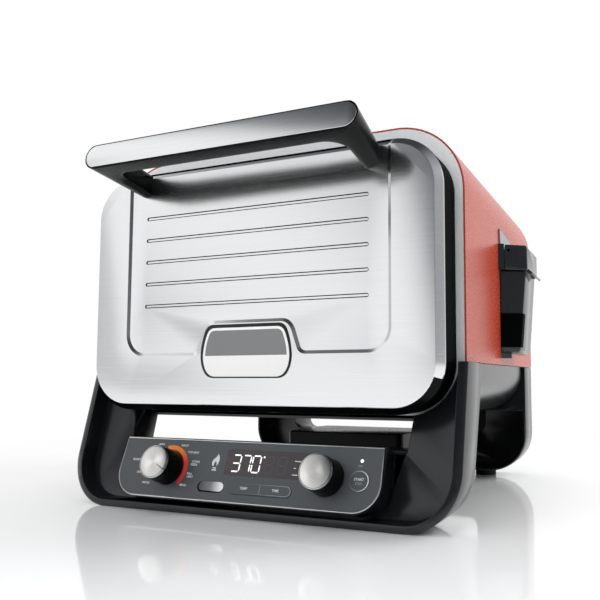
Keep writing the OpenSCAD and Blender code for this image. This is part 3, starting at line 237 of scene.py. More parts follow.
# Brushed stainless steel, for the door and handle: brushed level, so its gloss spreads up and down. The scratches
# are drawn 0.9 mm apart, coarser than real, to show.
brushed, tree = finish("brushed_stainless_steel")
spot = put(tree, "ShaderNodeTexCoord")
grain = put(tree, "ShaderNodeMapping", {}, {"Vector": spot.outputs["Object"],
                                            "Scale": (1000 / 90, 1000 / 8, 1000 / 0.9)})
line = put(tree, "ShaderNodeTexNoise", {}, {"Vector": grain.outputs["Vector"], "Scale": 1.0, "Detail": 4.0,
                                            "Roughness": 0.7})
tone = stops(put(tree, "ShaderNodeValToRGB", {}, {"Fac": line.outputs["Fac"]}), (0.3, "#ecedee"), (0.7, "#f3f4f5"))
rough = put(tree, "ShaderNodeMapRange", {}, {"Value": line.outputs["Fac"], "From Min": 0.3, "From Max": 0.7,
                                             "To Min": 0.17, "To Max": 0.22})
bump = put(tree, "ShaderNodeBump", {}, {"Strength": 0.008, "Distance": 0.0002, "Height": line.outputs["Fac"]})
steel = put(tree, "ShaderNodeBsdfPrincipled", {}, {
    "Base Color": tone.outputs["Color"], "Metallic": 1.0, "Roughness": rough.outputs["Result"],
    "Normal": bump.outputs["Normal"]})
put(tree, "ShaderNodeOutputMaterial", {}, {"Surface": steel.outputs[0]})


# Rear panel
# Pressed steel sheet under black enamel, screwed inside the casing's rear edge, with two fields of vent slots.
# Enamel: glassy black with a soft ripple about 3 mm wide.
enamel = grained("black_vitreous_enamel", 3, 2.0, ("#16191d",), (0.10, 0.15), (0.012, 0.0003), {"IOR": 1.5})
wear(["rear_panel"], enamel)


# Stand
# Front and rear frames, the tub between them and the pan: mouldings in charcoal, glass-filled plastic.
# Spark-eroded tool steel leaves a fine, half-gloss grain about 0.9 mm across, drawn a little coarse to show.
charcoal = grained("charcoal_glass_filled_nylon", 0.9, 2.0, ("#15171a", "#191b1e"), (0.16, 0.23), (0.03, 0.0002),
                   {"IOR": 1.54}, (60, 2.0))
wear(["lower_tub", "base_pan", "exhaust_hood"], charcoal)


def show(name, mesh, made, body, turn=30):
    """Puts a mesh in the scene as a piece of that finish, smooth below the given angle, riding on a body."""
    for face in mesh.polygons:
        face.use_smooth = True
    mesh.set_sharp_from_angle(angle=math.radians(turn))
    mesh.materials.clear()
    mesh.materials.append(made)
    piece = bpy.data.objects.new(name, mesh)
    bpy.context.scene.collection.objects.link(piece)
    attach(piece, body)
    return piece


def as_mesh(name, shell):
    """The mesh of a bmesh, which is used up."""
    mesh = bpy.data.meshes.new(name)
    shell.to_mesh(mesh)
    shell.free()
    return mesh


def closed(name, shell):
    """A mesh from a bmesh, with its doubles merged and its faces turned outwards."""
    bmesh.ops.remove_doubles(shell, verts=shell.verts, dist=2e-6)
    bmesh.ops.recalc_face_normals(shell, faces=shell.faces)
    return as_mesh(name, shell)


def evaluated(holder):
    """The plain mesh that an object makes; the object is then removed."""
    bpy.context.scene.collection.objects.link(holder)
    bpy.context.view_layer.update()
    ready = holder.evaluated_get(bpy.context.evaluated_depsgraph_get())
    mesh = bpy.data.meshes.new_from_object(ready)
    bpy.data.objects.remove(holder)
    return mesh


def through(mesh, kind, settings, inputs={}):
    """The plain mesh that a modifier makes of a mesh; a node tree's inputs are set by their sockets."""
    holder = bpy.data.objects.new(mesh.name + "_holder", mesh)
    step = holder.modifiers.new("step", kind)
    for key, value in settings.items():
        setattr(step, key, value)
    for port, value in inputs.items():
        step[port.identifier] = value
    return evaluated(holder)


def merged(node):
    """A bmesh of a CAD node with its loose triangles merged."""
    shell = bmesh.new()
    shell.from_mesh(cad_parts[node].data)
    bmesh.ops.remove_doubles(shell, verts=shell.verts, dist=2e-6)
    return shell


def flattened(shell):
    """The same bmesh with the edges inside flat faces dissolved."""
    bmesh.ops.dissolve_limit(shell, angle_limit=math.radians(0.5), verts=shell.verts, edges=shell.edges)
    return shell


def softened(name, shell, width, turn=40):
    """A mesh from a bmesh, with its sharp edges rounded over a width in mm."""
    return through(as_mesh(name, flattened(shell)), "BEVEL", {
        "width": width / 1000, "segments": 2, "use_clamp_overlap": False, "limit_method": "ANGLE",
        "angle_limit": math.radians(turn), "miter_outer": "MITER_ARC"})


def in_row(v):
    """A vertex's place in millimetres across, behind the door's face and above the table."""
    return v.co.x * 1000 + row_x, v.co.y * 1000 + row_y, v.co.z * 1000


# The front frame's rim leans back to its outer edge, its toe is drawn forward and down, and its window has thicker
# cheeks and a lower sill.
frame_hw, frame_low, frame_round, foot_y, rake = 215.0, 2.0, 50.0, -10.4, math.tan(math.radians(13))
rim_fall, toe_out, toe_top, toe_drop = 2.5, 4.5, 150.0, 1.9
window_hw, window_low, window_top, cheek_thick, sill_drop, sill_front = 162.0, 70.0, 93.0, 4.0, 6.0, 40.0
near = 0.2
shell = merged("front_frame")
for v in shell.verts:
    x, y, z = in_row(v)
    across = max(abs(x) - (frame_hw - frame_round), 0)
    below = max(frame_low + frame_round - z, 0)
    outside = abs(x) > frame_hw - near if below == 0 else math.hypot(across, below) > frame_round - near
    if outside and abs(y - (foot_y + rake * z)) < near:
        v.co.y += rim_fall / 1000
    if abs(abs(x) - window_hw) < near and window_low - near < z < window_top:
        v.co.x -= math.copysign(cheek_thick, x) / 1000
    if abs(z - window_low) < near and abs(x) < window_hw + near:
        v.co.z -= sill_drop / 1000
        v.co.y -= rake * sill_drop / 1000 if y < sill_front else 0
    v.co.y -= toe_out * max(1 - z / toe_top, 0) / 1000
    lower = toe_drop * below / frame_round / 1000
    v.co.z -= lower
    v.co.y -= (rake + toe_out / toe_top) * lower
piece = show("stand_front", softened("stand_front", shell, 0.9, 35), charcoal, "cabinet")
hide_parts("front_frame")

# The rear frame's window is drawn in at both ends.
rear_hw, rear_corner, rear_wall, rear_sill, rear_in = 150.0, 13.0, 3.5, 53.5, 9.0
shell = merged("rear_frame")
for v in shell.verts:
    x, y, z = in_row(v)
    if rear_hw - rear_corner < abs(x) < rear_hw + rear_wall and rear_sill < z < window_top:
        v.co.x -= math.copysign(rear_in, x) / 1000
piece = show("stand_rear", softened("stand_rear", shell, 0.7, 35), charcoal, "cabinet")
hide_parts("rear_frame")


# Door
# Its front is one stainless sheet, rolled back round the edge, with a shallow panel pressed in behind a sloping
# step and five slats pressed into that. It is folded over the moulded black frame.
def bow(start, pull, end, count=10):
    """Points of a bend from start to end, drawn towards pull."""
    steps = [i / count for i in range(count + 1)]
    return [tuple((1 - t) ** 2 * a + 2 * t * (1 - t) * b + t * t * c for a, b, c in zip(start, pull, end))
            for t in steps]


def bows(line, count=10):
    """Points of a chain of bends that passes every second point of a line and is drawn towards those between."""
    found = [line[0]]
    for i in range(0, len(line) - 1, 2):
        found += bow(*line[i:i + 3], count)[1:]
    return found


def arc(cx, cz, r, a0, a1, count=14):
    """Points on a circle from angle a0 to a1, in degrees."""
    turns = [math.radians(a0 + (a1 - a0) * i / count) for i in range(count + 1)]
    return [(cx + r * math.cos(t), cz + r * math.sin(t)) for t in turns]


def rounded(hw, low, top, r, count=14):
    """Closed line of an upright rectangle with round corners."""
    return (arc(hw - r, low + r, r, -90, 0, count) + arc(hw - r, top - r, r, 0, 90, count)
            + arc(r - hw, top - r, r, 90, 180, count) + arc(r - hw, low + r, r, 180, 270, count))


def level_pill(length, tall, x=0.0, z=0.0, count=10):
    """Closed line of a level bar with round ends."""
    r, run = tall / 2, (length - tall) / 2
    return arc(x + run, z, r, -90, 90, count) + arc(x - run, z, r, 90, 270, count)


def stitch(lines):
    """Points and triangles that fill the outermost of some lines and keep every line as edges."""
    points, edges = [], []
    for line, ring in lines:
        first = len(points)
        points += [Vector(p) for p in line]
        edges += [(first + i, first + i + 1) for i in range(len(line) - 1)]
        if ring:
            edges.append((first + len(line) - 1, first))
    found = delaunay_2d_cdt(points, edges, [], 1, 1e-3)
    return found[0], found[2]


def nearest(p, line):
    """Distance from a point to a line of points."""
    best = 1e9
    for a, b in zip(line, line[1:]):
        dx, dz = b[0] - a[0], b[1] - a[1]
        t = max(0.0, min(1.0, ((p[0] - a[0]) * dx + (p[1] - a[1]) * dz) / max(dx * dx + dz * dz, 1e-12)))
        best = min(best, math.hypot(p[0] - a[0] - t * dx, p[1] - a[1] - t * dz))
    return best


def slope(value, *pairs):
    """Value read off a line through (place, height) pairs, level beyond both ends."""
    for (a, low), (b, high) in zip(pairs, pairs[1:]):
        if value <= b:
            return low + (high - low) * max(0.0, min(1.0, (value - a) / (b - a)))
    return pairs[-1][1]


face_hw, face_low, face_top, face_round, edge_up = 192.5, 106.5, 347.0, 41.0, 28.0
roll = ((-0.5, 0.0), (0.0, 0.05), (0.5, 0.32), (1.1, 0.95), (6.2, 7.0), (6.75, 7.6), (7.0, 8.0))
half_step = ([(150.0, 356.0), (150.0, 179.3)] + arc(128, 179.3, 22, 0, -90)[1:]
             + bow((65, 157.3), (58.6, 157.3), (56.8, 163)) + bow((52.4, 176), (48.6, 189), (38.0, 189)))
step_line = half_step + [(-x, z) for x, z in reversed(half_step)]
step_deep, step_wide = 1.8, 1.9
step_fall = ((-step_wide, 0.0), (-step_wide + 0.3, 0.05), (step_wide - 0.3, step_deep - 0.05), (step_wide, step_deep))


def beside(line, gap, ring=False):
    """A line moved sideways, to the left of its run when gap is positive; a ring is closed."""
    out = []
    last = len(line) - 1
    for i, (x, z) in enumerate(line):
        a, b = (line[i - 1], line[(i + 1) % len(line)]) if ring else (line[max(i - 1, 0)], line[min(i + 1, last)])
        dx, dz = b[0] - a[0], b[1] - a[1]
        size = math.hypot(dx, dz)
        out.append((x - dz / size * gap, z + dx / size * gap))
    return out


def face_gap(x, z):
    """Distance of a place outside the flat of the door's face, negative inside it."""
    mid, tall = (face_low + face_top) / 2, (face_top - face_low) / 2
    qx, qz = abs(x) - (face_hw - face_round), abs(z - mid) - (tall - face_round)
    return math.hypot(max(qx, 0), max(qz, 0)) + min(max(qx, qz), 0) - face_round


def in_panel(x, z):
    """True inside the step line."""
    inside, ring = False, step_line
    for (x0, z0), (x1, z1) in zip(ring, ring[1:] + ring[:1]):
        if (z0 > z) != (z1 > z) and x < x0 + (z - z0) / (z1 - z0) * (x1 - x0):
            inside = not inside
    return inside


def face_y(x, z):
    """How far the door's skin lies behind the plane of its face."""
    away = nearest((x, z), step_line)
    side = away if in_panel(x, z) else -away
    return slope(face_gap(x, z), *roll) + slope(side, *step_fall)


slat_long, slat_tall, slat_first, slat_pitch, slat_count = 258.0, 3.9, 303.0, 23.6, 5
lines = [(rounded(face_hw + g, face_low - g, face_top + g, face_round + g), True) for g, _ in roll]
lines += [(beside(step_line, w), False) for w, _ in step_fall]
slats = [level_pill(slat_long, slat_tall, 0, slat_first - slat_pitch * i) for i in range(slat_count)]
lines += [(hole, True) for hole in slats]
points, faces = stitch(lines)
slat_end = (slat_long - slat_tall) / 2


def from_slat(x, z, level):
    """Distance from the middle line of a slat at that level."""
    return math.hypot(max(abs(x) - slat_end, 0), z - level)


def slatted(x, z):
    """True inside a slat."""
    return any(from_slat(x, z, slat_first - slat_pitch * i) < slat_tall / 2 - 1e-3 for i in range(slat_count))


def centre(face):
    """Middle of a face."""
    return [sum(points[i][k] for i in face) / len(face) for k in (0, 1)]


def low_edge(x, z):
    """True on the rolled edge along the door's foot and up round its lower corners."""
    return face_gap(x, z) > 0.5 and z < face_low + edge_up


skin_thick = 0.7


def facing(mesh, way):
    """An open mesh with its faces turned to the front (-1) or the rear (1)."""
    if sum(f.normal.y * f.area for f in mesh.polygons) * way < 0:
        mesh.flip_normals()
    return mesh


def door_sheet(name, wanted):
    """Sheet of the door's skin over the wanted places."""
    shell = bmesh.new()
    places = [shell.verts.new(row(x, face_y(x, z), z)) for x, z in points]
    for face in faces:
        cx, cz = centre(face)
        if face_gap(cx, cz) < roll[-1][0] and not slatted(cx, cz) and wanted(cx, cz):
            shell.faces.new([places[i] for i in face])
    bmesh.ops.delete(shell, geom=[v for v in shell.verts if not v.link_faces], context="VERTS")
    return through(facing(closed(name, shell), -1), "SOLIDIFY", {"thickness": skin_thick / 1000, "offset": -1.0})


skin = show("door_face", door_sheet("door_face", lambda x, z: not low_edge(x, z)), brushed, "door", 12)
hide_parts("door_skin")
# The skin's lower rolled edge is made apart from the face, to carry its painted dark reflection.
edge_sheet = door_sheet("door_low_edge", low_edge)

# The door's frame: a deep black moulding behind the skin, in heat-proof paint that hardly shines.
heatproof = grained("black_heatproof_paint", 2, 2.0, ("#050606",), (0.5, 0.6),
                    more={"IOR": 1.38, "Specular IOR Level": 0.02})
wear(["door_frame"], heatproof)

# The slats: five long dimples pressed into the panel, all from one tool, so one dimple is repeated up the door.
# Its wall wears black heat-proof paint as painted shade, and its bright floor sits a little above the middle, so the
# painted shade is wider along the lower side.
dip = ((0.0, 0.0), (0.2, 0.25), (0.95, 1.0))
floor_tall, floor_up = slat_tall - 2 * dip[-1][0], 0.12
lines = [(level_pill(slat_long - 2 * d, slat_tall - 2 * d, 0, slat_first), True) for d, _ in dip[:-1]]
floor_line = level_pill(slat_long - 2 * dip[-1][0], floor_tall, 0, slat_first + floor_up)
points, faces = stitch(lines + [(floor_line, True)])
rim, bed = bmesh.new(), bmesh.new()
for x, z in points:
    inset = slat_tall / 2 - from_slat(x, z, slat_first)
    within = floor_tall / 2 - from_slat(x, z, slat_first + floor_up)
    deep = dip[-1][1] if within > -1e-3 else slope(inset, *dip)
    for shell in (rim, bed):
        shell.verts.new(row(x, step_deep + deep, z))
rim.verts.ensure_lookup_table()
bed.verts.ensure_lookup_table()
for face in faces:
    shell = bed if from_slat(*centre(face), slat_first + floor_up) < floor_tall / 2 else rim
    shell.faces.new([shell.verts[i] for i in face])


def begin(name, **inputs):
    """A node tree with named inputs and one output: the tree, its input sockets and what they give."""
    tree = bpy.data.node_groups.new(name, "GeometryNodeTree")
    tree.is_modifier = True
    ports = {port: tree.interface.new_socket(port, in_out="INPUT", socket_type="NodeSocket" + kind)
             for port, kind in inputs.items()}
    tree.interface.new_socket("Made", in_out="OUTPUT", socket_type="NodeSocketGeometry")
    return tree, ports, put(tree, "NodeGroupInput").outputs


def end_tree(tree, shape, made):
    """Ends a node tree: its instances are made real and get their finish."""
    real = put(tree, "GeometryNodeRealizeInstances", {}, {"Geometry": shape})
    coated = put(tree, "GeometryNodeSetMaterial", {}, {"Geometry": real.outputs["Geometry"], "Material": made})
    put(tree, "NodeGroupOutput", {}, {"Made": coated.outputs["Geometry"]})


tree, ports, given = begin("slats_up_the_door", Dimple="Geometry", Count="Int", Pitch="Float", Finish="Material")
drop = put(tree, "ShaderNodeMath", {"operation": "MULTIPLY"}, {0: given["Pitch"], 1: -1.0})
down = put(tree, "ShaderNodeCombineXYZ", {}, {"Z": drop.outputs[0]})
spots = put(tree, "GeometryNodeMeshLine", {"mode": "OFFSET"}, {"Count": given["Count"], "Offset": down.outputs[0]})
copies = put(tree, "GeometryNodeInstanceOnPoints", {}, {"Points": spots.outputs["Mesh"], "Instance": given["Dimple"]})
end_tree(tree, copies.outputs["Instances"], given["Finish"])
# The walls' black is painted shade in the dimples.
for name, shell, made in (("slat_walls", rim, heatproof), ("slat_floors", bed, brushed)):
    bmesh.ops.delete(shell, geom=[v for v in shell.verts if not v.link_faces], context="VERTS")
    mesh = through(facing(closed(name, shell), -1), "NODES", {"node_group": tree}, {
        ports["Count"]: slat_count, ports["Pitch"]: slat_pitch / 1000, ports["Finish"]: made})
    show(name, mesh, made, "door", 25)


# Handle
# A gloss black moulding: a bar whose round ends run back as two arms, screwed on from behind the door's skin.
# Its front is faced with a brushed plate in a shallow seat. Gloss black ABS is smooth, with a slow ripple.
gloss = grained("gloss_black_abs", 30, 2.0, ("#050606",), (0.16, 0.24),
                more={"IOR": 1.52, "Specular IOR Level": 0.1})
# The rolled edge along the door's foot is steel, but wears the same gloss black: a painted dark reflection.
show("door_low_edge", edge_sheet, gloss, "door", 12)
tilt = math.radians(10)
bar_half, bar_tall, bar_deep = 148.5, 13.1, 20.0
arm_gap, arm_draw, arm_run, arm_bend = 124.0, 8.5, 91.75, 18.0
ease_in, ease_front, seat, bar_out, bar_up, arm_cos = 5.5, 1.0, 0.35, 68.0, 352.0, 0.9957


def on_handle(x, y, z):
    """A place from the handle's own axes: across, back along the arms and up."""
    return row(x, y * math.cos(tilt) + z * math.sin(tilt) - bar_out, bar_up - y * math.sin(tilt) + z * math.cos(tilt))


def fall(away, r):
    """Drop of a rounded edge of radius r at a distance from it."""
    return r - math.sqrt(max(r * r - (r - min(max(away, 0), r)) ** 2, 0))


def outer_at(y):
    """How far out the arms' outer sides lie, y back along them."""
    return bar_half - arm_draw * y / arm_run


def bar_height(x, y):
    """Half the handle's height at a place in its plan."""
    qx, qy = abs(x) - (arm_gap - arm_bend), bar_deep + arm_bend - y
    inner = math.hypot(max(qx, 0), max(qy, 0)) + min(max(qx, qy), 0) - arm_bend
    outer = (outer_at(y) - abs(x)) * arm_cos
    return bar_tall - max(fall(inner, ease_in), fall(outer, bar_tall), fall(y - seat, ease_front))


arm_end, foot_gap, foot_from = 74.0, 0.4, 300.0
lines = []
for d in (0.0, 0.25, 0.8, 1.6, 2.6, 3.9, ease_in):
    r = arm_bend + d
    half = [(arm_gap + d, arm_end), (arm_gap + d, bar_deep + arm_bend)]
    half += arc(arm_gap - arm_bend, bar_deep + arm_bend, r, 0, -90)[1:]
    lines.append((half + [(-x, y) for x, y in reversed(half)], False))
for d in (0.0, 0.12, 0.5, 1.1, 2.0, 3.2, 4.8, 6.8, 9.0, bar_tall):
    for side in (-1, 1):
        lines.append(([(side * (outer_at(y) - d / arm_cos), y) for y in (seat, 12, 26, 44, arm_end)], False))
for d in (0.0, 0.1, 0.35, 0.65, ease_front):
    lines.append(([(x, seat + d) for x in (-outer_at(seat + d), 0, outer_at(seat + d))], False))
for side in (-1, 1):
    lines.append(([(side * arm_gap, arm_end), (side * outer_at(arm_end), arm_end)], False))
points, faces = stitch(lines)
shell = bmesh.new()


def seated(x, y, z):
    """A place on the handle, stopped at the door's skin."""
    for _ in range(12):
        spot = on_handle(x, y, z)
        skin_y = face_y(x, spot.z * 1000) if spot.z * 1000 > foot_from else 0.0
        over = spot.y * 1000 + row_y - skin_y - foot_gap
        if over <= 0:
            break
        y -= over / math.cos(tilt)
    return spot


upper = [shell.verts.new(seated(x, y, bar_height(x, y))) for x, y in points]
lower = [shell.verts.new(seated(x, y, -bar_height(x, y))) for x, y in points]
for face in faces:
    shell.faces.new([upper[i] for i in face])
    shell.faces.new([lower[i] for i in reversed(face)])
shell.edges.ensure_lookup_table()
rim = [e for e in shell.edges if len(e.link_faces) == 1]
twin = dict(zip(upper, lower))
for e in rim:
    a, b = e.verts
    if a in twin and b in twin:
        try:
            shell.faces.new([a, b, twin[b], twin[a]])
        except ValueError:
            pass
piece = show("handle_grip", closed("handle_grip", shell), gloss, "door", 35)
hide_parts("handle_body")


def bridge(shell, one, two):
    """Joins two rings of vertices by a band of quads."""
    for i in range(len(one)):
        j = (i + 1) % len(one)
        shell.faces.new([one[i], one[j], two[j], two[i]])


def plate(outline, place, back, soft, bend=3):
    """Closed mesh of a plate from its outline: front at depth 0 with an edge rounded to soft, rear at back."""
    shell = bmesh.new()
    turns = [math.pi / 2 * i / bend for i in range(bend + 1)]
    rings = [[(p, back) for p in outline]]
    for a in turns:
        inset = beside(outline, soft * (1 - math.cos(a)), True)
        rings.append([(p, soft * (1 - math.sin(a))) for p in inset])
    rows = [[shell.verts.new(place(u, depth, v)) for (u, v), depth in ring] for ring in rings]
    for low, high in zip(rows, rows[1:]):
        bridge(shell, low, high)
    shell.faces.new(rows[-1])
    shell.faces.new(list(reversed(rows[0])))
    return closed("plate", shell)


plate_long, plate_tall, plate_back, plate_soft = 294.0, 23.2, 1.1, 0.4
mesh = plate(level_pill(plate_long, plate_tall)[:-1], on_handle, plate_back, plate_soft)
piece = show("handle_facing", mesh, brushed, "door")
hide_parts("handle_plate")


# Badge
# A bare plate stuck below the slats, barrel shaped: a black base that is painted shadow round the face, wider at the
# top and left, a white enamelled face on it and a grey field printed on the upper half.
barrel_half = ((0.7, 0.0), (0.84, 0.0), (0.915, 0.11), (1.0, 0.24), (1.0, 0.42), (0.995, 0.62), (0.92, 0.83),
               (0.87, 1.0), (0.72, 1.0))


def barrel(left, right, low, top):
    """Closed line of a rectangle whose sides bulge and whose corners are round, going round to the left."""
    mid, hw, tall = (left + right) / 2, (right - left) / 2, top - low
    half = [(hw * x, low + tall * z) for x, z in bows(barrel_half, 8)]
    return [(mid + x, z) for x, z in half] + [(mid - x, z) for x, z in reversed(half)]


def on_door(proud):
    """Place maker for a plate on the door's face, its front so far proud of it."""
    return lambda x, depth, z: row(x, depth - proud, z)


# The black base is painted shadow, soft and cloudy; stove enamel leaves an even gloss, and screen printing a dull
# film.
badge_painted_shadow = grained("black_anodised_aluminium", 4, 3.0, ("#101112",), (0.34, 0.44))
white_enamel = grained("white_stove_enamel", 5, 2.0, ("#f6f5f3",), (0.25, 0.33))
grey_print = grained("grey_screen_print", 0.8, 2.0, ("#7c7d7d", "#828383"), 0.42)
badge_low, badge_top, badge_left, badge_right = 132.8, 186.3, -54.2, 50.2
base = barrel(badge_left, badge_right, badge_low, badge_top)
base_proud, base_thick, base_soft = 1.2, 1.4, 0.5
piece = show("badge_base", plate(base, on_door(base_proud), base_thick, base_soft), badge_painted_shadow, "door")
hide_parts("door_badge")
white_proud, white_thick, white_soft = 1.5, 0.8, 0.15
# The face sits off the middle, so the black base shows wider at the top and left as painted shadow.
face = barrel(badge_left + 3.4, badge_right - 1.8, badge_low + 1.4, badge_top - 3.5)
show("badge_face", plate(face, on_door(white_proud), white_thick, white_soft), white_enamel, "door")
field_low, field_in, film = 155.0, 2.6, 0.08
field = [p for p in beside(face, field_in, True) if p[1] >= field_low]
field = [(field[0][0], field_low)] + field + [(field[-1][0], field_low)]
show("badge_field", plate(field, on_door(white_proud + film), 0.1, 0.02, 1), grey_print, "door")


# Console
# A black moulded box, tilted back, that carries the control panel between the stand's cheeks.
# The panel is satin grey acrylic, edged all round by a bright chromed trim.
fascia_tilt, fascia_hw, fascia_tall, fascia_round = math.radians(20.6), 144.5, 57.0, 25.0
fascia_back, fascia_top = 1.0, 70.0


def on_fascia(x, proud, up):
    """A place from the panel's own axes: across, out of its face and up from its top edge."""
    return row(x, fascia_back + up * math.sin(fascia_tilt) - proud * math.cos(fascia_tilt),
               fascia_top + up * math.cos(fascia_tilt) + proud * math.sin(fascia_tilt))


def at_panel(proud):
    """Place maker for a plate on the panel, its front so far proud of it."""
    return lambda x, depth, up: on_fascia(x, proud - depth, up)


# Satin acrylic: a spark-eroded tool leaves a fine grain that dulls it.
satin = grained("satin_grey_acrylic", 0.9, 2.0, ("#44484a", "#484c4e"), (0.36, 0.46), more={"IOR": 1.49})
wear(["control_fascia"], satin)
wear(["console_body"], charcoal)

# The cover over the power board behind the panel: a gloss black box with a flat top.
cover_top, cover_rise = 72.0, 6.0
shell = merged("power_cover")
for v in shell.verts:
    if v.co.z * 1000 > cover_top - 2.5:
        v.co.z += cover_rise / 1000
piece = show("power_housing", softened("power_housing", shell, 0.8), gloss, "cabinet")
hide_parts("power_cover")

# Satin chrome: bright, with slow clouds where the plating bath ran thin.
chrome = grained("satin_chrome_plating", 12, 3.0, ("#d2d3d4", "#dcddde"), (0.12, 0.2), more={"Metallic": 1.0})
edge_line = ([(-fascia_hw, 0), (fascia_hw, 0)]
             + arc(fascia_hw - fascia_round, fascia_round - fascia_tall, fascia_round, 0, -90)
             + arc(fascia_round - fascia_hw, fascia_round - fascia_tall, fascia_round, 270, 180))
trim_section = ((0.0, -1.5), (0.0, 0.1), (0.25, 0.35), (0.95, 0.35), (1.3, 0.0), (1.3, -1.5))
shell = bmesh.new()
rows = [[shell.verts.new(on_fascia(x, proud, up)) for x, up in beside(edge_line, out, True)]
        for out, proud in trim_section]
for one, two in zip(rows, rows[1:] + rows[:1]):
    bridge(shell, one, two)
piece = show("panel_trim", closed("panel_trim", shell), chrome, "cabinet", 50)
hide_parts("fascia_trim")


# Dials
# Two turned knobs: a black moulded body and a cap of spun aluminium, its rim turned bright, pressed on its front.
# The spinning leaves rings about 0.5 mm apart, so the gloss fans out; UV runs round the dial to steer it.
chart_span, ring_gap = 20.0, 0.5


def lathe(name, profile, centre, count=72):
    """Mesh turned about an axis out of the panel, from (radius, height) pairs; UV runs round and out."""
    shell = bmesh.new()
    chart = shell.loops.layers.uv.new("round")
    rings = []
    for r, h in profile:
        turns = [2 * math.pi * i / count for i in range(count)]
        if r == 0:
            rings.append([shell.verts.new(on_fascia(centre[0], h, centre[1]))] * count)
        else:
            rings.append([shell.verts.new(on_fascia(centre[0] + r * math.cos(t), h, centre[1] + r * math.sin(t)))
                          for t in turns])
    for k, (one, two) in enumerate(zip(rings, rings[1:])):
        for i in range(count):
            j = (i + 1) % count
            corners = [(one[i], i, k), (one[j], i + 1, k), (two[j], i + 1, k + 1), (two[i], i, k + 1)]
            kept = [c for n, c in enumerate(corners) if c[0] not in [d[0] for d in corners[:n]]]
            face = shell.faces.new([c[0] for c in kept])
            for loop, (_, u, v) in zip(face.loops, kept):
                loop[chart].uv = (u / count, profile[v][0] / chart_span)
    bmesh.ops.recalc_face_normals(shell, faces=shell.faces)
    return as_mesh(name, shell)


spun, tree = finish("spun_aluminium")
chart = put(tree, "ShaderNodeUVMap", {"uv_map": "round"})
rings = put(tree, "ShaderNodeMapping", {}, {"Vector": chart.outputs["UV"], "Scale": (6.0, chart_span / ring_gap, 1.0)})
line = put(tree, "ShaderNodeTexNoise", {}, {"Vector": rings.outputs["Vector"], "Scale": 1.0, "Detail": 3.0})
tone = stops(put(tree, "ShaderNodeValToRGB", {}, {"Fac": line.outputs["Fac"]}), (0.3, "#f0edea"), (0.7, "#faf8f6"))
along = put(tree, "ShaderNodeTangent", {"direction_type": "UV_MAP", "uv_map": "round"})
turned = put(tree, "ShaderNodeBsdfPrincipled", {}, {
    "Base Color": tone.outputs["Color"], "Metallic": 1.0, "Roughness": 0.3, "Anisotropic": 0.85,
    "Tangent": along.outputs["Tangent"]})
put(tree, "ShaderNodeOutputMaterial", {}, {"Surface": turned.outputs[0]})
# Dull black paint fills the groove between a cap's rim and its disc.
gap_black = grained("black_paint_filled_groove", 0.6, 2.0, ("#141414",), (0.5, 0.65))
dial_drop, dial_r, dial_flare, dial_tall = -28.6, 16.5, 1.2, 25.0
function_x, setting_x = -84.5, 92.1
body_line = ((0, 0.6), (dial_r + dial_flare - 0.5, 0.6), (dial_r + dial_flare, 1.1), (dial_r - 0.2, dial_tall - 3.2),
             (dial_r - 0.7, dial_tall - 2.6), (0, dial_tall - 2.6))
rim_r, groove_r, disc_r = 16.1, 15.1, 14.75
cap_line = ((0, dial_tall - 2.6), (rim_r - 0.3, dial_tall - 2.6), (rim_r, dial_tall - 2.3), (rim_r, dial_tall - 0.9),
            (rim_r - 0.2, dial_tall - 0.35), (rim_r - 0.6, dial_tall - 0.1), (groove_r + 0.1, dial_tall - 0.1),
            (groove_r, dial_tall - 0.2))
groove_line = ((groove_r, dial_tall - 0.2), (groove_r - 0.05, dial_tall - 0.5), (disc_r, dial_tall - 0.5))
disc_line = ((disc_r, dial_tall - 0.5), (disc_r - 0.05, dial_tall - 0.2), (disc_r - 0.35, dial_tall - 0.1),
             (6, dial_tall - 0.1), (2, dial_tall - 0.12), (0, dial_tall - 0.15))
for body, node, cap, x in (("function_dial", "function_knob", "function_cap", function_x),
                           ("setting_dial", "setting_knob", "setting_cap", setting_x)):
    piece = show(node + "_body", lathe("dial_body", body_line, (x, dial_drop)), gloss, body, 35)
    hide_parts(node)
    piece = show(cap + "_rim", lathe("dial_rim", cap_line, (x, dial_drop)), chrome, body, 35)
    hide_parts(cap)
    show(cap + "_disc", lathe("dial_disc", disc_line, (x, dial_drop)), spun, body, 35)
    show(cap + "_groove", lathe("dial_groove", groove_line, (x, dial_drop)), gap_black, body, 60)

# The function dial's pointer: a saw cut across the cap at about four o'clock, filled with black.
cut_turn, cut_from, cut_to, cut_wide = math.radians(-26), 5.2, 16.1, 0.9
cut_proud, cut_deep, cut_soft = 0.12, 1.2, 0.05
along, side = (math.cos(cut_turn), math.sin(cut_turn)), (-math.sin(cut_turn), math.cos(cut_turn))
cut = [(function_x + along[0] * r + side[0] * w * cut_wide / 2, dial_drop + along[1] * r + side[1] * w * cut_wide / 2)
       for r, w in ((cut_from, -0.4), (cut_to, -1), (cut_to, 1), (cut_from, 0.4))]
show("function_pointer", plate(cut, at_panel(dial_tall + cut_proud), cut_deep, cut_soft, 1), gap_black,
     "function_dial")


# Display
# A smoked acrylic window, flush with the panel. It is opaque here, so the segments are laid on its face.
# The digits lean a little, as such a display's do.
smoked = grained("smoked_acrylic", 20, 2.0, ("#3a3638", "#3f3b3d"), (0.3, 0.36), more={"IOR": 1.49})
wear(["display_window", "display_module"], smoked)


def glow(name, code, power):
    """Finish of lit segments: a coloured lens that glows a little."""
    return grained(name, 2, 1.0, (code,), (0.4, 0.5), more={"Emission Color": lin(code), "Emission Strength": power})


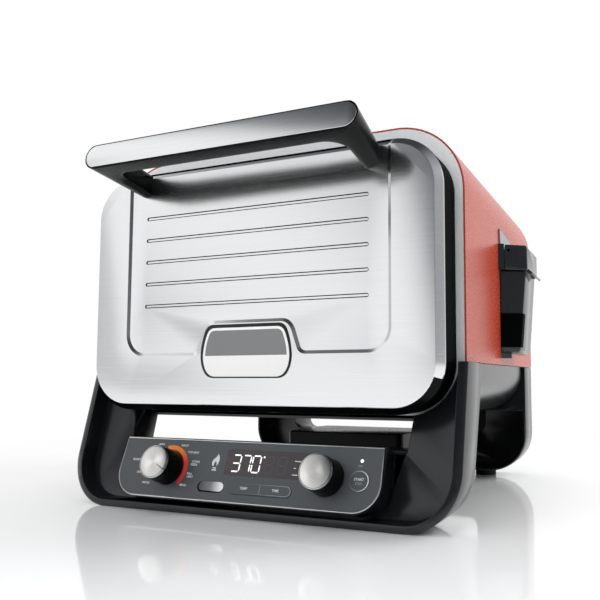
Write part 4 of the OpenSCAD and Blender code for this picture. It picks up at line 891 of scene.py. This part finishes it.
lit_white = glow("lit_white_segments", "#f4f2ee", 0.75)
lit_red = glow("lit_red_segments", "#7a2e2c", 0.12)
dim_grey = glow("unlit_segments", "#464244", 0.0)
digit_low, digit_tall, digit_wide, digit_lean, stroke = -28.2, 15.8, 8.6, 0.04, 1.25
bars = {"a": ((0, 2), (1, 2)), "b": ((1, 2), (1, 1)), "c": ((1, 1), (1, 0)), "d": ((0, 0), (1, 0)),
        "e": ((0, 0), (0, 1)), "f": ((0, 1), (0, 2)), "g": ((0, 1), (1, 1))}


def segment(p, q, gap=0.55):
    """Six-cornered outline of one display segment between two corners."""
    dx, dz = q[0] - p[0], q[1] - p[1]
    size = math.hypot(dx, dz)
    ux, uz, w = dx / size, dz / size, stroke / 2
    line = ((gap, 0), (gap + w, -w), (size - gap - w, -w), (size - gap, 0), (size - gap - w, w), (gap + w, w))
    return [(p[0] + ux * a - uz * b, p[1] + uz * a + ux * b) for a, b in line]


def joined(name, outlines, place, back, soft):
    """One mesh of several plates."""
    shell = bmesh.new()
    for line in outlines:
        part = plate(line, place, back, soft, 1)
        shell.from_mesh(part)
        bpy.data.meshes.remove(part)
    return closed(name, shell)


lens_thick, lens_soft, lit_proud, mark_proud, unlit_proud = 0.2, 0.02, 0.1, 0.08, 0.05
lit, unlit = [], []
for digit, x in (("abcdg", -10.6), ("abc", 0.6), ("abcdef", 11.6), ("", 26.0), ("", 39.5)):
    for key, ends in bars.items():
        p, q = [(x + a * digit_wide + digit_lean * b * digit_tall / 2, digit_low + b * digit_tall / 2)
                for a, b in ends]
        (lit if key in digit else unlit).append(segment(p, q))
degree_x, degree_up, degree_r = 24.0, -13.2, 0.95
lit.append(arc(degree_x, degree_up, degree_r, 0, 324, 9))
show("display_digits", joined("digits", lit, at_panel(lit_proud), lens_thick, lens_soft), lit_white, "cabinet")
show("display_unlit", joined("unlit", unlit, at_panel(unlit_proud), lens_thick, lens_soft), dim_grey, "cabinet")
marks = [level_pill(1.3, 0.5, x, up, 3)[:-1] for x in (-16.4, -14.8)
         for up in (-15.0, -16.4, -17.8, -19.2, -24.0, -25.4, -26.8)]
marks += [level_pill(1.2, 0.5, x, -9.0, 3)[:-1] for x in (3.4, 5.2, 7.0, 8.8, 10.6)]
show("display_marks", joined("marks", marks, at_panel(mark_proud), lens_thick, lens_soft), lit_red, "cabinet")


# Keys
# Four moulded keys flush in the panel, and a lamp: the smoke key is plated, the others are the panel's own grey.
# The smoke key's run from dark to light is a painted reflection, so it stays the same in another light.
wear(["start_button", "temp_button", "time_button"], satin)
pill_painted_reflection, tree = finish("shaded_nickel_plate")
spot = put(tree, "ShaderNodeTexCoord")
split = put(tree, "ShaderNodeSeparateXYZ", {}, {"Vector": spot.outputs["Object"]})
pill_x, pill_up, pill_long, pill_tall = -29.0, -44.0, 28.0, 9.2
pill_proud, pill_deep, pill_soft = 0.6, 9.0, 0.35
across = put(tree, "ShaderNodeMapRange", {}, {
    "Value": split.outputs["X"], "From Min": row(pill_x - pill_long / 2, 0, 0).x,
    "From Max": row(pill_x + pill_long / 2, 0, 0).x})
# Painted reflection: dark at the key's left end, bright at its right.
tone = stops(put(tree, "ShaderNodeValToRGB", {}, {"Fac": across.outputs["Result"]}),
             (0.0, "#3c3f41"), (0.5, "#6f7173"), (1.0, "#eeeeee"))
nickel = put(tree, "ShaderNodeBsdfPrincipled", {}, {"Base Color": tone.outputs["Color"], "Roughness": 0.35})
put(tree, "ShaderNodeOutputMaterial", {}, {"Surface": nickel.outputs[0]})
mesh = plate(level_pill(pill_long, pill_tall, pill_x, pill_up)[:-1], at_panel(pill_proud), pill_deep, pill_soft)
piece = show("smoke_key", mesh, pill_painted_reflection, "smoke_key")
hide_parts("smoke_button")
lamp_white = glow("clear_lamp_lens", "#ffffff", 0.9)
wear(["status_light"], lamp_white)


# Printing
# Screen printed in white ink: plain words and marks for the dials and keys, a flame and a heat scale.
ink_white = grained("white_screen_ink", 0.7, 2.0, ("#c9cbcb", "#d6d8d8"), 0.5)
ink_dim = grained("grey_screen_ink", 0.7, 2.0, ("#85898a", "#8f9394"), 0.5)
ink_proud, key_proud, ink_thick, ink_soft = 0.12, 0.75, 0.15, 0.02


def words(name, text, x, up, tall, made, body="cabinet", proud=ink_proud):
    """A word laid on the panel, centred on a place, with capitals of that height in mm."""
    face = bpy.data.curves.new(name, "FONT")
    face.body, face.size, face.align_x, face.align_y = text, tall / 1000 / 0.7, "CENTER", "CENTER"
    face.offset, face.resolution_u = 0.00006, 2
    mesh = evaluated(bpy.data.objects.new(name + "_holder", face))
    for v in mesh.vertices:
        v.co = on_fascia(x + v.co.x * 1000, proud, up + v.co.y * 1000)
    show(name, mesh, made, body)


modes = (("BAKE", -99.8, -5.4), ("ROAST", -70.6, -5.6), ("TOP HEAT", -58.4, -12.2), ("STONE", -53.0, -21.2),
         ("PIZZA", -54.6, -24.2), ("FULL", -57.3, -33.4), ("HEAT", -56.2, -36.4), ("BROIL", -62.0, -44.8),
         ("REHEAT", -126.5, -22.2), ("DRY", -119.6, -35.0), ("SMOKE", -107.6, -45.0))
mode_tall, key_tall, start_tall, small_tall = 2.0, 2.4, 2.3, 1.9
for i, (text, x, up) in enumerate(modes):
    words("print_mode_%d" % i, text, x, up, mode_tall, ink_white)
words("print_temp", "TEMP", 8.2, -43.9, key_tall, ink_white, "temp_key", key_proud)
words("print_time", "TIME", 42.6, -43.9, key_tall, ink_white, "time_key", key_proud)
words("print_start", "START", 124.3, -28.6, start_tall, ink_white, "start_key", key_proud)
words("print_stop", "STOP", 124.3, -32.4, small_tall, ink_dim, "start_key", key_proud)
words("print_on", "ON", 123.6, -16.6, small_tall, ink_dim)
flame_line = ((-33.0, -24.0), (-35.2, -19.6), (-31.0, -16.4), (-28.4, -14.4), (-28.6, -12.0), (-25.6, -15.2),
              (-26.0, -19.0), (-26.2, -22.4), (-28.2, -24.2), (-27.6, -21.8), (-29.6, -19.6), (-32.0, -21.6),
              (-31.0, -24.2))
foot = [level_pill(long, 1.2, -30.0, up, 4)[:-1] for long, up in ((4.2, -26.2), (5.6, -28.2))]
mesh = joined("flame", [bows(flame_line)[::-1]] + foot, at_panel(ink_proud), ink_thick, ink_soft)
show("print_flame", mesh, ink_white, "cabinet")
dashes = [level_pill(long, 0.9, x, up, 4)[:-1]
          for long, x, up in ((7.0, 60.6, -15.5), (2.4, 58.4, -22.0), (6.0, 59.4, -28.2))]
show("print_dashes", joined("dashes", dashes, at_panel(ink_proud), ink_thick, ink_soft), ink_white, "cabinet")


def outline_ring(line, wide):
    """Two closed lines, wide apart, as one printed ring of quads on the panel."""
    shell = bmesh.new()
    inner = beside(line, wide, True)
    one = [shell.verts.new(on_fascia(x, key_proud, up)) for x, up in line]
    two = [shell.verts.new(on_fascia(x, key_proud, up)) for x, up in inner]
    bridge(shell, one, two)
    return as_mesh("ring", shell)


# The rings round the start key and the two lower keys fade out to the left: painted light and shade over the ink,
# bright at the right and dark at the left.
ring_painted_shade, tree = finish("tinted_screen_ink")
spot = put(tree, "ShaderNodeTexCoord")
split = put(tree, "ShaderNodeSeparateXYZ", {}, {"Vector": spot.outputs["Object"]})
key_from, key_to, start_from, start_to, start_side = 8.0, 58.0, 114.0, 134.0, 100.0
low_half = put(tree, "ShaderNodeMapRange", {}, {
    "Value": split.outputs["X"], "From Min": row(key_from, 0, 0).x, "From Max": row(key_to, 0, 0).x,
    "To Min": 0.0, "To Max": 0.55})
start_half = put(tree, "ShaderNodeMapRange", {}, {
    "Value": split.outputs["X"], "From Min": row(start_from, 0, 0).x, "From Max": row(start_to, 0, 0).x,
    "To Min": 0.0, "To Max": 1.0})
chosen = put(tree, "ShaderNodeMath", {"operation": "GREATER_THAN"}, {
    0: split.outputs["X"], 1: row(start_side, 0, 0).x})
part = put(tree, "ShaderNodeMix", {}, {
    0: chosen.outputs[0], 2: low_half.outputs["Result"], 3: start_half.outputs["Result"]})
# Painted shade: dark grey at the rings' left ends, bright at their right.
tone = stops(put(tree, "ShaderNodeValToRGB", {}, {"Fac": part.outputs[0]}),
             (0.0, "#4a4e50"), (0.5, "#8a8e8f"), (1.0, "#e4e5e5"))
ink = put(tree, "ShaderNodeBsdfPrincipled", {}, {"Base Color": tone.outputs["Color"], "Roughness": 0.5})
put(tree, "ShaderNodeOutputMaterial", {}, {"Surface": ink.outputs[0]})
start_x, start_up, start_r, start_wide = 124.4, -30.0, 9.3, 0.8
keys_long, keys_tall, keys_x, keys_up, keys_wide = 66.0, 9.6, 25.6, -44.0, 0.55
bar_left, bar_right, bar_low, bar_high = 25.3, 25.8, -48.4, -39.6
ring = arc(start_x, start_up, start_r, 0, 354, 59)
show("print_start_ring", outline_ring(ring, start_wide), ring_painted_shade, "cabinet")
ring = level_pill(keys_long, keys_tall, keys_x, keys_up, 12)[:-1]
show("print_key_ring", outline_ring(ring, keys_wide), ring_painted_shade, "cabinet")
bar = [(bar_left, bar_low), (bar_right, bar_low), (bar_right, bar_high), (bar_left, bar_high)]
show("print_key_bar", plate(bar, at_panel(key_proud), 0.1, ink_soft, 1), ink_dim, "cabinet")

# The heat scale: an arc round the function dial from orange to red.
heat, tree = finish("orange_to_red_screen_ink")
chart = put(tree, "ShaderNodeUVMap", {"uv_map": "round"})
split = put(tree, "ShaderNodeSeparateXYZ", {}, {"Vector": chart.outputs["UV"]})
tone = stops(put(tree, "ShaderNodeValToRGB", {}, {"Fac": split.outputs["X"]}),
             (0.0, "#e9891c"), (0.35, "#e5701f"), (0.6, "#d83a2c"), (1.0, "#c62f33"))
ink = put(tree, "ShaderNodeBsdfPrincipled", {}, {"Base Color": tone.outputs["Color"], "Roughness": 0.5})
put(tree, "ShaderNodeOutputMaterial", {}, {"Surface": ink.outputs[0]})
shell = bmesh.new()
chart = shell.loops.layers.uv.new("round")
count, arc_in, arc_out, arc_from, arc_to = 40, 18.4, 22.8, 108, -44
rows = []
for i in range(count + 1):
    t = math.radians(arc_from + (arc_to - arc_from) * i / count)
    rows.append([shell.verts.new(on_fascia(function_x + r * math.cos(t), ink_proud, dial_drop + r * math.sin(t)))
                 for r in (arc_in, arc_out)])
for i, (one, two) in enumerate(zip(rows, rows[1:])):
    face = shell.faces.new([one[0], one[1], two[1], two[0]])
    for loop, u in zip(face.loops, (i, i, i + 1, i + 1)):
        loop[chart].uv = (u / count, 0.5)
show("print_heat_scale", as_mesh("heat_scale", shell), heat, "cabinet")


# Smoke box
# A pressed box hung on a plated bracket at the right, with a hinged lid; a black sleeve holds its lower half.
# Black vitreous enamel as on the rear panel, with every edge rounded as pressing leaves it.
box_in, box_out, box_front, box_low, box_rim, box_slope = 210.3, 236.0, 203.0, 161.0, 264.0, 18 / 27.5
box_taper, draw_in, box_round, casing_side, front_wall = 4.0, 4.7, 6.0, 208.7, 3.5


def height(z):
    """How far below the rim a level lies, from 0 there to 1 at the bottom."""
    return max(box_rim - z, 0) / (box_rim - box_low)


def front_at(x, off):
    """How far back the box's slanted front lies at x, moved off outwards."""
    return box_front + box_slope * (x - box_in) - off * math.hypot(1, box_slope)


shell = merged("smoke_box")
for v in shell.verts:
    x, y, z = in_row(v)
    inward = draw_in * height(z) * (x - box_in) / (box_out - box_in)
    if x < box_in + 0.1:
        inward += box_in - casing_side
    v.co.x -= inward / 1000
    if y < front_at(x, -front_wall):
        v.co.y -= box_slope * inward / 1000
under = [e for e in flattened(shell).edges if all(abs(v.co.z * 1000 - box_low) < 0.1 for v in e.verts)]
bmesh.ops.bevel(shell, geom=under, offset=box_round / 1000, segments=5, profile=0.5, affect="EDGES")
piece = show("smoke_box_pressing", softened("smoke_box_pressing", shell, 1.2), enamel, "cabinet")
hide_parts("smoke_box")

# The lid's pressing: round over the top, its skirt cut a little short.
lid_low, lid_top, lid_mid, lid_draw, lid_round, lid_short = 252.0, 286.0, 228.0, 2.5, 4.0, 4.5
shell = merged("smoke_lid")
over = [e for e in flattened(shell).edges if all(v.co.z * 1000 > lid_top - 0.1 for v in e.verts)
        and any(in_row(v)[0] > lid_mid for v in e.verts)]
for v in shell.verts:
    x, y, z = in_row(v)
    if x > lid_mid:
        v.co.x -= lid_draw / 1000
    if z < lid_low + 3:
        v.co.z += lid_short / 1000
bmesh.ops.bevel(shell, geom=over, offset=lid_round / 1000, segments=4, profile=0.5, affect="EDGES")
piece = show("smoke_lid_pressing", softened("smoke_lid_pressing", shell, 0.4), enamel, "smoke_lid")
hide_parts("smoke_lid")

# A fixed cheek before the hinge fills the corner between the lid and the casing, clear of the lid's swing.
cheek_out, cheek_front, cheek_back, wing_x, wing_back = 214.7, 195.0, 198.6, 210.6, 232.0
cheek = [(casing_side, cheek_front), (cheek_out, cheek_back - 0.3), (cheek_out, cheek_back), (wing_x, cheek_back),
         (wing_x, wing_back), (casing_side, wing_back)]
mesh = plate(cheek, lambda x, down, y: row(x, y, lid_top - down), lid_top - lid_low - lid_short, 0.1)
piece = show("lid_cheek", mesh, enamel, "cabinet")

# The sleeve: a band round the front of the box and 13 mm along its outer side, following the box's taper.
sleeve_top, sleeve_tall, band, tuck, side_run, bend_in, bend_back = 207.0, 39.0, 0.9, 0.25, 13.0, 2.2, 3.0


def corner_at(z):
    """Where the box's front corner lies across, before it is drawn in."""
    return box_out - box_taper * height(z)


def on_box(across, down, back):
    """A place on the sleeve, from its plan at the top and the distance down."""
    z = sleeve_top - down
    x = box_in + (across - box_in) * (corner_at(z) - box_in) / (corner_at(sleeve_top) - box_in)
    drawn = x - draw_in * height(z) * (x - box_in) / (box_out - box_in)
    return row(drawn, back - box_slope * (across - drawn), z)


out_x, in_x = corner_at(sleeve_top) + band, corner_at(sleeve_top) - tuck
turn_y = front_at(out_x, band)
band_line = [(casing_side, front_at(casing_side, band))]
band_line += bow((out_x - bend_in, front_at(out_x - bend_in, band)), (out_x, turn_y), (out_x, turn_y + bend_back), 6)
band_line += [(out_x, turn_y + side_run), (in_x, turn_y + side_run), (in_x, front_at(in_x, -tuck)),
              (casing_side, front_at(casing_side, -tuck))]
piece = show("smoke_sleeve", plate(band_line, on_box, sleeve_tall, 0.3), heatproof, "cabinet")
tab_out, tab_deep, tab_tall, tab_in, tab_up, tab_soft = 219.0, 3.0, 5.5, 2.0, 4.0, 0.5
tab = [(casing_side, front_at(casing_side, -tab_in)), (tab_out, front_at(tab_out, -tab_in)),
       (tab_out, front_at(tab_out, -tab_in) + tab_deep), (casing_side, front_at(casing_side, -tab_in) + tab_deep)]
mesh = plate(tab, lambda x, up, y: row(x, y, box_low - tab_tall + up), tab_tall + tab_up, tab_soft)
piece = show("smoke_tab", mesh, enamel, "cabinet")

# The bracket: a plated sheet, its upper edge falling to the rear and its front corner rounded.
bracket_top, bracket_low, bracket_front, bracket_rear = 305.0, 163.0, 199.0, 289.0
bracket_fall, bracket_back, bracket_round = 10.0, 20.0, 5.0
shell = merged("smoke_bracket")
for v in shell.verts:
    x, y, z = in_row(v)
    if z > bracket_top - 1 and y > bracket_rear - 3:
        v.co.z -= bracket_fall / 1000
    if z < bracket_low + 1 and y < bracket_front + 1:
        v.co.y += bracket_back / 1000
corner = [e for e in flattened(shell).edges
          if all(in_row(v)[2] > bracket_top - 1 and in_row(v)[1] < bracket_front + 1 for v in e.verts)]
bmesh.ops.bevel(shell, geom=corner, offset=bracket_round / 1000, segments=5, profile=0.5, affect="EDGES")
bracket = softened("smoke_bracket_sheet", shell, 0.3)


# Inside and rear
# Plated sheet, chromed wire, aluminium, heater tube, wool, rubber, boards and switches, each with its own finish.
# Zinc plate: pale and cloudy, duller than chrome.
plated = grained("zinc_plated_sheet", 18, 4.0, ("#a4abb0", "#b4bbc0"), (0.3, 0.42), more={"Metallic": 1.0})
wear(["cavity_liner", "fan_cover", "rack_rails", "smoke_duct", "hinge_brackets", "door_inner", "pellet_basket"],
     plated)
piece = show("smoke_bracket_sheet", bracket, plated, "cabinet")
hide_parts("smoke_bracket")
wear(["lid_pin"], heatproof)
wear(["hinge_pins", "handle_screws", "temperature_probe"], chrome)

# The rack: a bent rim of thick chromed wire with thin wires welded across it, front to rear.
rack_hw, rack_up, rack_bend, rim_wire, bar_wire, bar_count = 160.5, 189.5, 10.0, 2.5, 1.5, 11
low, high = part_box("wire_rack")
rack_front, rack_rear = low[1] * 1000 + row_y + rim_wire, high[1] * 1000 + row_y - rim_wire
loop = rounded(rack_hw, rack_front, rack_rear, rack_bend, 6)
mesh = bpy.data.meshes.new("rack_rim")
mesh.from_pydata([row(x, y, rack_up) for x, y in loop], [(i, (i + 1) % len(loop)) for i in range(len(loop))], [])
tree, ports, given = begin("wires_across_a_rim", Rim="Geometry", RimWire="Float", BarWire="Float", Bars="Int",
                           First="Vector", Pitch="Float", Length="Float", Finish="Material")
path = put(tree, "GeometryNodeMeshToCurve", {}, {"Mesh": given["Rim"]})
thick = put(tree, "GeometryNodeCurvePrimitiveCircle", {}, {"Resolution": 16, "Radius": given["RimWire"]})
bent = put(tree, "GeometryNodeCurveToMesh", {}, {
    "Curve": path.outputs["Curve"], "Profile Curve": thick.outputs["Curve"]})
back = put(tree, "ShaderNodeCombineXYZ", {}, {"Y": given["Length"]})
straight = put(tree, "GeometryNodeCurvePrimitiveLine", {}, {"End": back.outputs[0]})
thin = put(tree, "GeometryNodeCurvePrimitiveCircle", {}, {"Resolution": 12, "Radius": given["BarWire"]})
bar = put(tree, "GeometryNodeCurveToMesh", {}, {
    "Curve": straight.outputs["Curve"], "Profile Curve": thin.outputs["Curve"], "Fill Caps": True})
aside = put(tree, "ShaderNodeCombineXYZ", {}, {"X": given["Pitch"]})
spots = put(tree, "GeometryNodeMeshLine", {"mode": "OFFSET"}, {
    "Count": given["Bars"], "Start Location": given["First"], "Offset": aside.outputs[0]})
copies = put(tree, "GeometryNodeInstanceOnPoints", {}, {
    "Points": spots.outputs["Mesh"], "Instance": bar.outputs["Mesh"]})
whole = put(tree, "GeometryNodeJoinGeometry", {}, {"Geometry": bent.outputs["Mesh"]})
tree.links.new(copies.outputs["Instances"], whole.inputs["Geometry"])
end_tree(tree, whole.outputs["Geometry"], given["Finish"])
bar_pitch = 2 * rack_hw / (bar_count + 1)
mesh = through(mesh, "NODES", {"node_group": tree}, {
    ports["RimWire"]: rim_wire / 1000, ports["BarWire"]: bar_wire / 1000, ports["Bars"]: bar_count,
    ports["First"]: row(bar_pitch - rack_hw, rack_front, rack_up), ports["Pitch"]: bar_pitch / 1000,
    ports["Length"]: (rack_rear - rack_front) / 1000, ports["Finish"]: chrome})
piece = show("wire_rack_rods", mesh, chrome, "cabinet", 40)
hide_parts("wire_rack")

# Rear screws: six cross-head screws along the panel's sides, one head repeated at each.
head_r, head_tall, head_round, cross_long, cross_half, cross_deep, cross_wall = 4.0, 2.8, 1.4, 2.4, 0.55, 1.5, 0.15
arm, cross = [(cross_long, -cross_half), (cross_long, cross_half), (cross_half, cross_half)], []
for _ in range(4):
    cross += arm
    arm = [(-z, x) for x, z in arm]
lines = [(arc(0, 0, head_r - d, 0, 345, 23), True) for d in (0.0, 0.15, 0.5, 0.9, head_round)]
points, faces = stitch(lines + [(cross, True), (beside(cross, cross_wall, True), True)])
shell = bmesh.new()
places = []
for u, v in points:
    long, wide = max(abs(u), abs(v)), min(abs(u), abs(v))
    deep = cross_deep if long < cross_long - cross_wall / 3 and wide < cross_half - cross_wall / 3 else 0
    high = head_tall - fall(head_r - math.hypot(u, v), head_round)
    places.append(shell.verts.new(Vector((u, high - deep, v)) / 1000))
for face in faces:
    shell.faces.new([places[i] for i in face])
skirt = bmesh.ops.extrude_edge_only(shell, edges=[e for e in shell.edges if e.is_boundary])
for v in skirt["geom"]:
    if isinstance(v, bmesh.types.BMVert):
        v.co.y = 0
head = bpy.data.objects.new("screw_head", facing(closed("screw_head", shell), 1))
bpy.context.scene.collection.objects.link(head)
tree, ports, given = begin("heads_on_places", Places="Geometry", Head="Object", Finish="Material")
one = put(tree, "GeometryNodeObjectInfo", {}, {"Object": given["Head"]})
copies = put(tree, "GeometryNodeInstanceOnPoints", {}, {
    "Points": given["Places"], "Instance": one.outputs["Geometry"]})
end_tree(tree, copies.outputs["Instances"], given["Finish"])
screw_x, screw_y, screw_levels = 194.5, 405.5, (160.0, 235.0, 319.0)
mesh = bpy.data.meshes.new("screw_places")
mesh.from_pydata([row(x, screw_y, z) for x in (-screw_x, screw_x) for z in screw_levels], [], [])
mesh = through(mesh, "NODES", {"node_group": tree}, {ports["Head"]: head, ports["Finish"]: chrome})
bpy.data.objects.remove(head)
piece = show("rear_screw_heads", mesh, chrome, "cabinet", 35)
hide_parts("rear_screws")

# Mill aluminium, as rolled: pale and dull.
mill = grained("mill_aluminium", 8, 3.0, ("#b6b8b9", "#c4c6c7"), (0.32, 0.45), more={"Metallic": 1.0})
wear(["fan_impeller", "fan_motor"], mill)

# Heater tube: steel that heat has tinted from brown to blue.
tint = grained("heat_tinted_steel_tube", 25, 4.0, ("#4a3f3b", "#6a5546", "#4b4a55"), (0.4, 0.55),
               more={"Metallic": 1.0})
wear(["upper_heater", "lower_heater", "igniter_rod"], tint)

# Mineral wool: matt, yellowish fibre, drawn 1.5 mm thick to show.
wool = grained("mineral_wool", 1.5, 5.0, ("#b9ad92", "#d8cfb8"), 0.95, (0.6, 0.0008))
wear(["insulation"], wool)
wool_front, skin_clear = 3.0, 4.4
shell = bmesh.new()
shell.from_mesh(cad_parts["door_insulation"].data)
for v in shell.verts:
    if v.co.y < row(0, wool_front, 0).y:
        v.co.y = row(0, skin_clear, 0).y
piece = show("door_wool", closed("door_wool", shell), wool, "door")
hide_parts("door_insulation")

# Silicone rubber: matt black with a faint bloom.
rubber = grained("black_silicone_rubber", 3, 3.0, ("#161617", "#1c1c1d"), (0.6, 0.75), more={"IOR": 1.45})
wear(["feet", "cord_gland", "door_gasket"], rubber)

# Solder mask: green lacquer over the weave of the board.
board = grained("green_solder_mask", 1.2, 2.0, ("#1d5a38", "#246842"), 0.35, more={"IOR": 1.5})
wear(["control_board", "power_board"], board)

# Moulded nylon: grey and half dull.
nylon = grained("grey_nylon", 0.9, 2.0, ("#8b8e90", "#939698"), 0.5, more={"IOR": 1.53})
wear(["function_encoder", "setting_encoder", "key_switches"], nylon)
